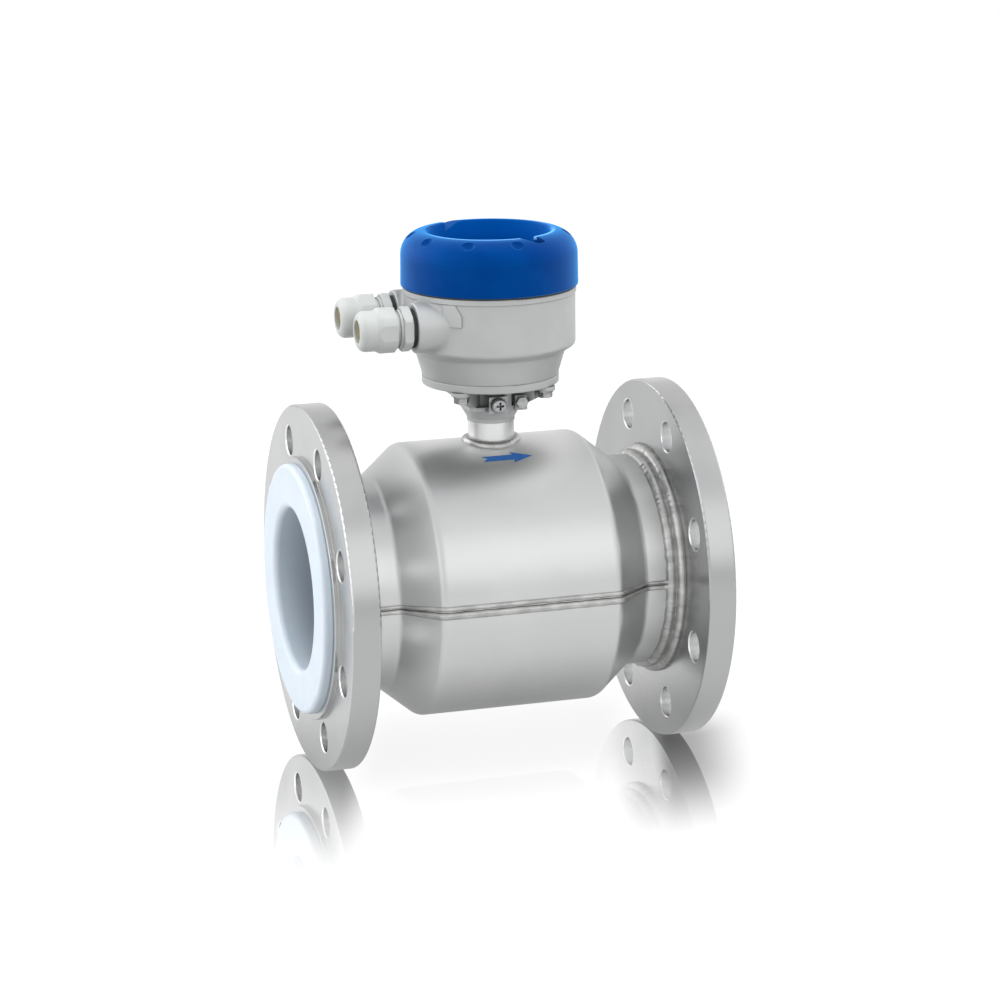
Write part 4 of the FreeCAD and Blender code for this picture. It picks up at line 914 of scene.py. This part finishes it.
# %% Tree for a thread
def thread_tree():
    shape = Shape("thread", {
        "Turns": 1.5,
        "Radius": 9.9,
        "Length": 2.2,
        "Crest": 0.35,
    })
    given = shape.given
    spiral = shape.add("GeometryNodeCurveSpiral", None, {
        "Resolution": 48,
        "Rotations": given["Turns"],
        "Start Radius": given["Radius"] * MM,
        "End Radius": given["Radius"] * MM,
        "Height": given["Length"] * MM,
    })[0]
    circle = shape.add("GeometryNodeCurvePrimitiveCircle", {"mode": "RADIUS"}, {
        "Resolution": 6,
        "Radius": given["Crest"] * MM,
    })["Curve"]
    swept = shape.add("GeometryNodeCurveToMesh", None, {
        "Curve": spiral,
        "Profile Curve": circle,
        "Fill Caps": True,
    })[0]
    return shape.end(swept, finishes["gland_plastic"])


thread = thread_tree()

# %% Thread of each gland
boss_face = -54.0
entry_side = 22.4
entry_height = 158.0
thread_start = 9.7
turn_to_pipe = Matrix.Rotation(math.radians(-90), 4, "Y")
for word, sign in (("front", -1), ("rear", 1)):
    crests = run_tree(word + "_gland_thread", thread, {})
    spot = Vector((boss_face - thread_start, sign * entry_side, entry_height)) * MM
    crests.data.transform(Matrix.Translation(spot) @ turn_to_pipe)
    install(crests, "sensor", "gland_plastic")

# %% [markdown]
# ## The studio
# A pale floor reaches past the view on all sides. Its own emission lifts it to white for the camera, bounced
# rays see it less bright, with a painted shadow below the object, and its diffuse part keeps a soft shadow.
# Close to the flanges the floor is polished and mirrors them, and the mirror fades with distance. Beside the
# foot of the outlet flange a painted soft shade darkens both the floor and its mirror.
# The value called along is the distance along the pipe, slanted so that its lines run away from the camera.

# %% Floor
floor_level = cad_box[0][2]
floor_size = 14000 * MM
view_slant = 0.309
white = rgba(1, 1, 1)
dark_grey = rgba(0.15, 0.15, 0.15)


def floor_finish():
    material = bpy.data.materials.new("studio_floor")
    material.use_nodes = True
    finish = Bench(material.node_tree)
    material.node_tree.nodes.clear()
    place = finish.scaled(finish.add("ShaderNodeTexCoord")["Object"], 1 / MM)
    x, y = finish.split(place)[:2]
    camera_ray = finish.add("ShaderNodeLightPath")["Is Camera Ray"]
    along_pipe = x * 0.6
    reach = (along_pipe * along_pipe + y * y).root()
    painted_under_shadow = reach.rises(160, 10)
    along = x - y * view_slant
    beside_flange = along.rises(100, 112) * along.rises(170, 122)
    painted_foot_shade = beside_flange * y.rises(-200, -80) * y.rises(30, -30)
    glow_level = camera_ray * (0.84 - painted_foot_shade * 0.42) + (1.0 - camera_ray) * (0.76 - painted_under_shadow * 0.40)
    matt = finish.add("ShaderNodeBsdfDiffuse", None, {"Color": dark_grey})[0]
    glow = finish.add("ShaderNodeEmission", None, {"Color": white, "Strength": glow_level})[0]
    pale = finish.add("ShaderNodeAddShader", None, {0: matt, 1: glow})[0]
    mirror_shade_tint = finish.blend(painted_foot_shade * 0.7, white, dark_grey)
    mirror = finish.add("ShaderNodeBsdfGlossy", None, {"Color": mirror_shade_tint, "Roughness": 0.0})[0]
    flanges = along.size().rises(70, 95) * 0.85 + 0.12
    near = along.size().rises(200, 140) * y.rises(160, 80)
    polish = y.rises(-235, -10) * flanges * near * camera_ray
    mixed = finish.add("ShaderNodeMixShader", None, {"Fac": polish, 1: pale, 2: mirror})[0]
    finish.add("ShaderNodeOutputMaterial", None, {"Surface": mixed})
    return material


floor_mesh = bpy.data.meshes.new("studio_floor")
half = floor_size / 2
corners = [(-half, -half), (half, -half), (half, half), (-half, half)]
floor_mesh.from_pydata([(x, y, floor_level) for x, y in corners], [], [(0, 1, 2, 3)])
floor_mesh.materials.append(floor_finish())
floor = bpy.data.objects.new("studio_floor", floor_mesh)
bpy.context.scene.collection.objects.link(floor)
print("floor at", floor_level)

# %% [markdown]
# ## Light
# The world is a white room, a little darker at the ceiling behind the object and low before it. Four panels
# are brighter: one before the object, one on its left, one behind its left and one on its right. All
# bounced rays see this room, and with the floor it shapes the reflections on the steel.
# The camera sees plain white, and so do rays from the floor's mirror, so the background stays white.
# Three soft boxes, above, on the left and on the right, add light that only rough paint and plastic show.

# %% World
def studio_world():
    world = bpy.data.worlds.new("studio")
    world.use_nodes = True
    room = Bench(world.node_tree)
    world.node_tree.nodes.clear()
    way = room.add("ShaderNodeTexCoord")["Generated"]
    y, z = room.split(way)[1:]

    def toward(*direction):
        """How nearly a ray points this way: 1 is straight at it."""
        aim = Vector(direction).normalized()
        return room.add("ShaderNodeVectorMath", {"operation": "DOT_PRODUCT"}, {0: way, 1: aim})["Value"]

    dark_ceiling = toward(0.28, 0.72, 0.63).rises(0.74, 1.0)
    front_panel = toward(0.27, -0.86, 0.44).rises(0.90, 0.98)
    left_panel = toward(-0.88, -0.42, 0.20).rises(0.80, 0.98)
    back_left_panel = toward(-0.82, 0.50, 0.15).rises(0.80, 0.96)
    right_panel = toward(0.95, 0.10, 0.20).rises(0.60, 0.90)
    horizon = z.size().rises(0.24, 0.02) * y.rises(0.0, -0.4)
    panels = front_panel * 0.60 + left_panel * 0.70 + back_left_panel * 1.5 + right_panel * 0.35
    tone = 1.0 - dark_ceiling * 0.20 - horizon * 0.22 + panels
    light_path = room.add("ShaderNodeLightPath")
    straight = light_path["Is Camera Ray"].at_least(light_path["Is Singular Ray"])
    level = straight + (1.0 - straight) * tone
    background = room.add("ShaderNodeBackground", None, {"Color": white, "Strength": level})[0]
    room.add("ShaderNodeOutputWorld", None, {"Surface": background})
    return world


bpy.context.scene.world = studio_world()
print("world", bpy.context.scene.world.name)

# %% Soft boxes
box_distance = 2000 * MM
middle_of_object = Vector((0, 0, 30)) * MM


def soft_box(name, azimuth, elevation, side, power):
    """Square lamp, side in mm, at an azimuth (0 is the front, 90 the right), that points at the object."""
    turn = math.radians(azimuth)
    lift = math.radians(elevation)
    way = Vector((math.sin(turn) * math.cos(lift), -math.cos(turn) * math.cos(lift), math.sin(lift)))
    lamp = bpy.data.lights.new(name, "AREA")
    lamp.shape = "SQUARE"
    lamp.size = side * MM
    lamp.energy = power
    holder = bpy.data.objects.new(name, lamp)
    holder.location = middle_of_object + way * box_distance
    holder.rotation_euler = way.to_track_quat("Z", "Y").to_euler()
    holder.visible_camera = False
    holder.visible_glossy = False
    bpy.context.scene.collection.objects.link(holder)


soft_box("top_box", azimuth=0, elevation=84, side=1400, power=36.0)
soft_box("left_box", azimuth=-117, elevation=14, side=1200, power=14.0)
soft_box("right_box", azimuth=58, elevation=14, side=1200, power=8.0)
print("soft boxes", len(bpy.data.lights))

# %% [markdown]
# ## The sizes at the end
# The box of the imported model is printed at the end.

# %% Print the box of the imported model
print("cad box", cad_box)
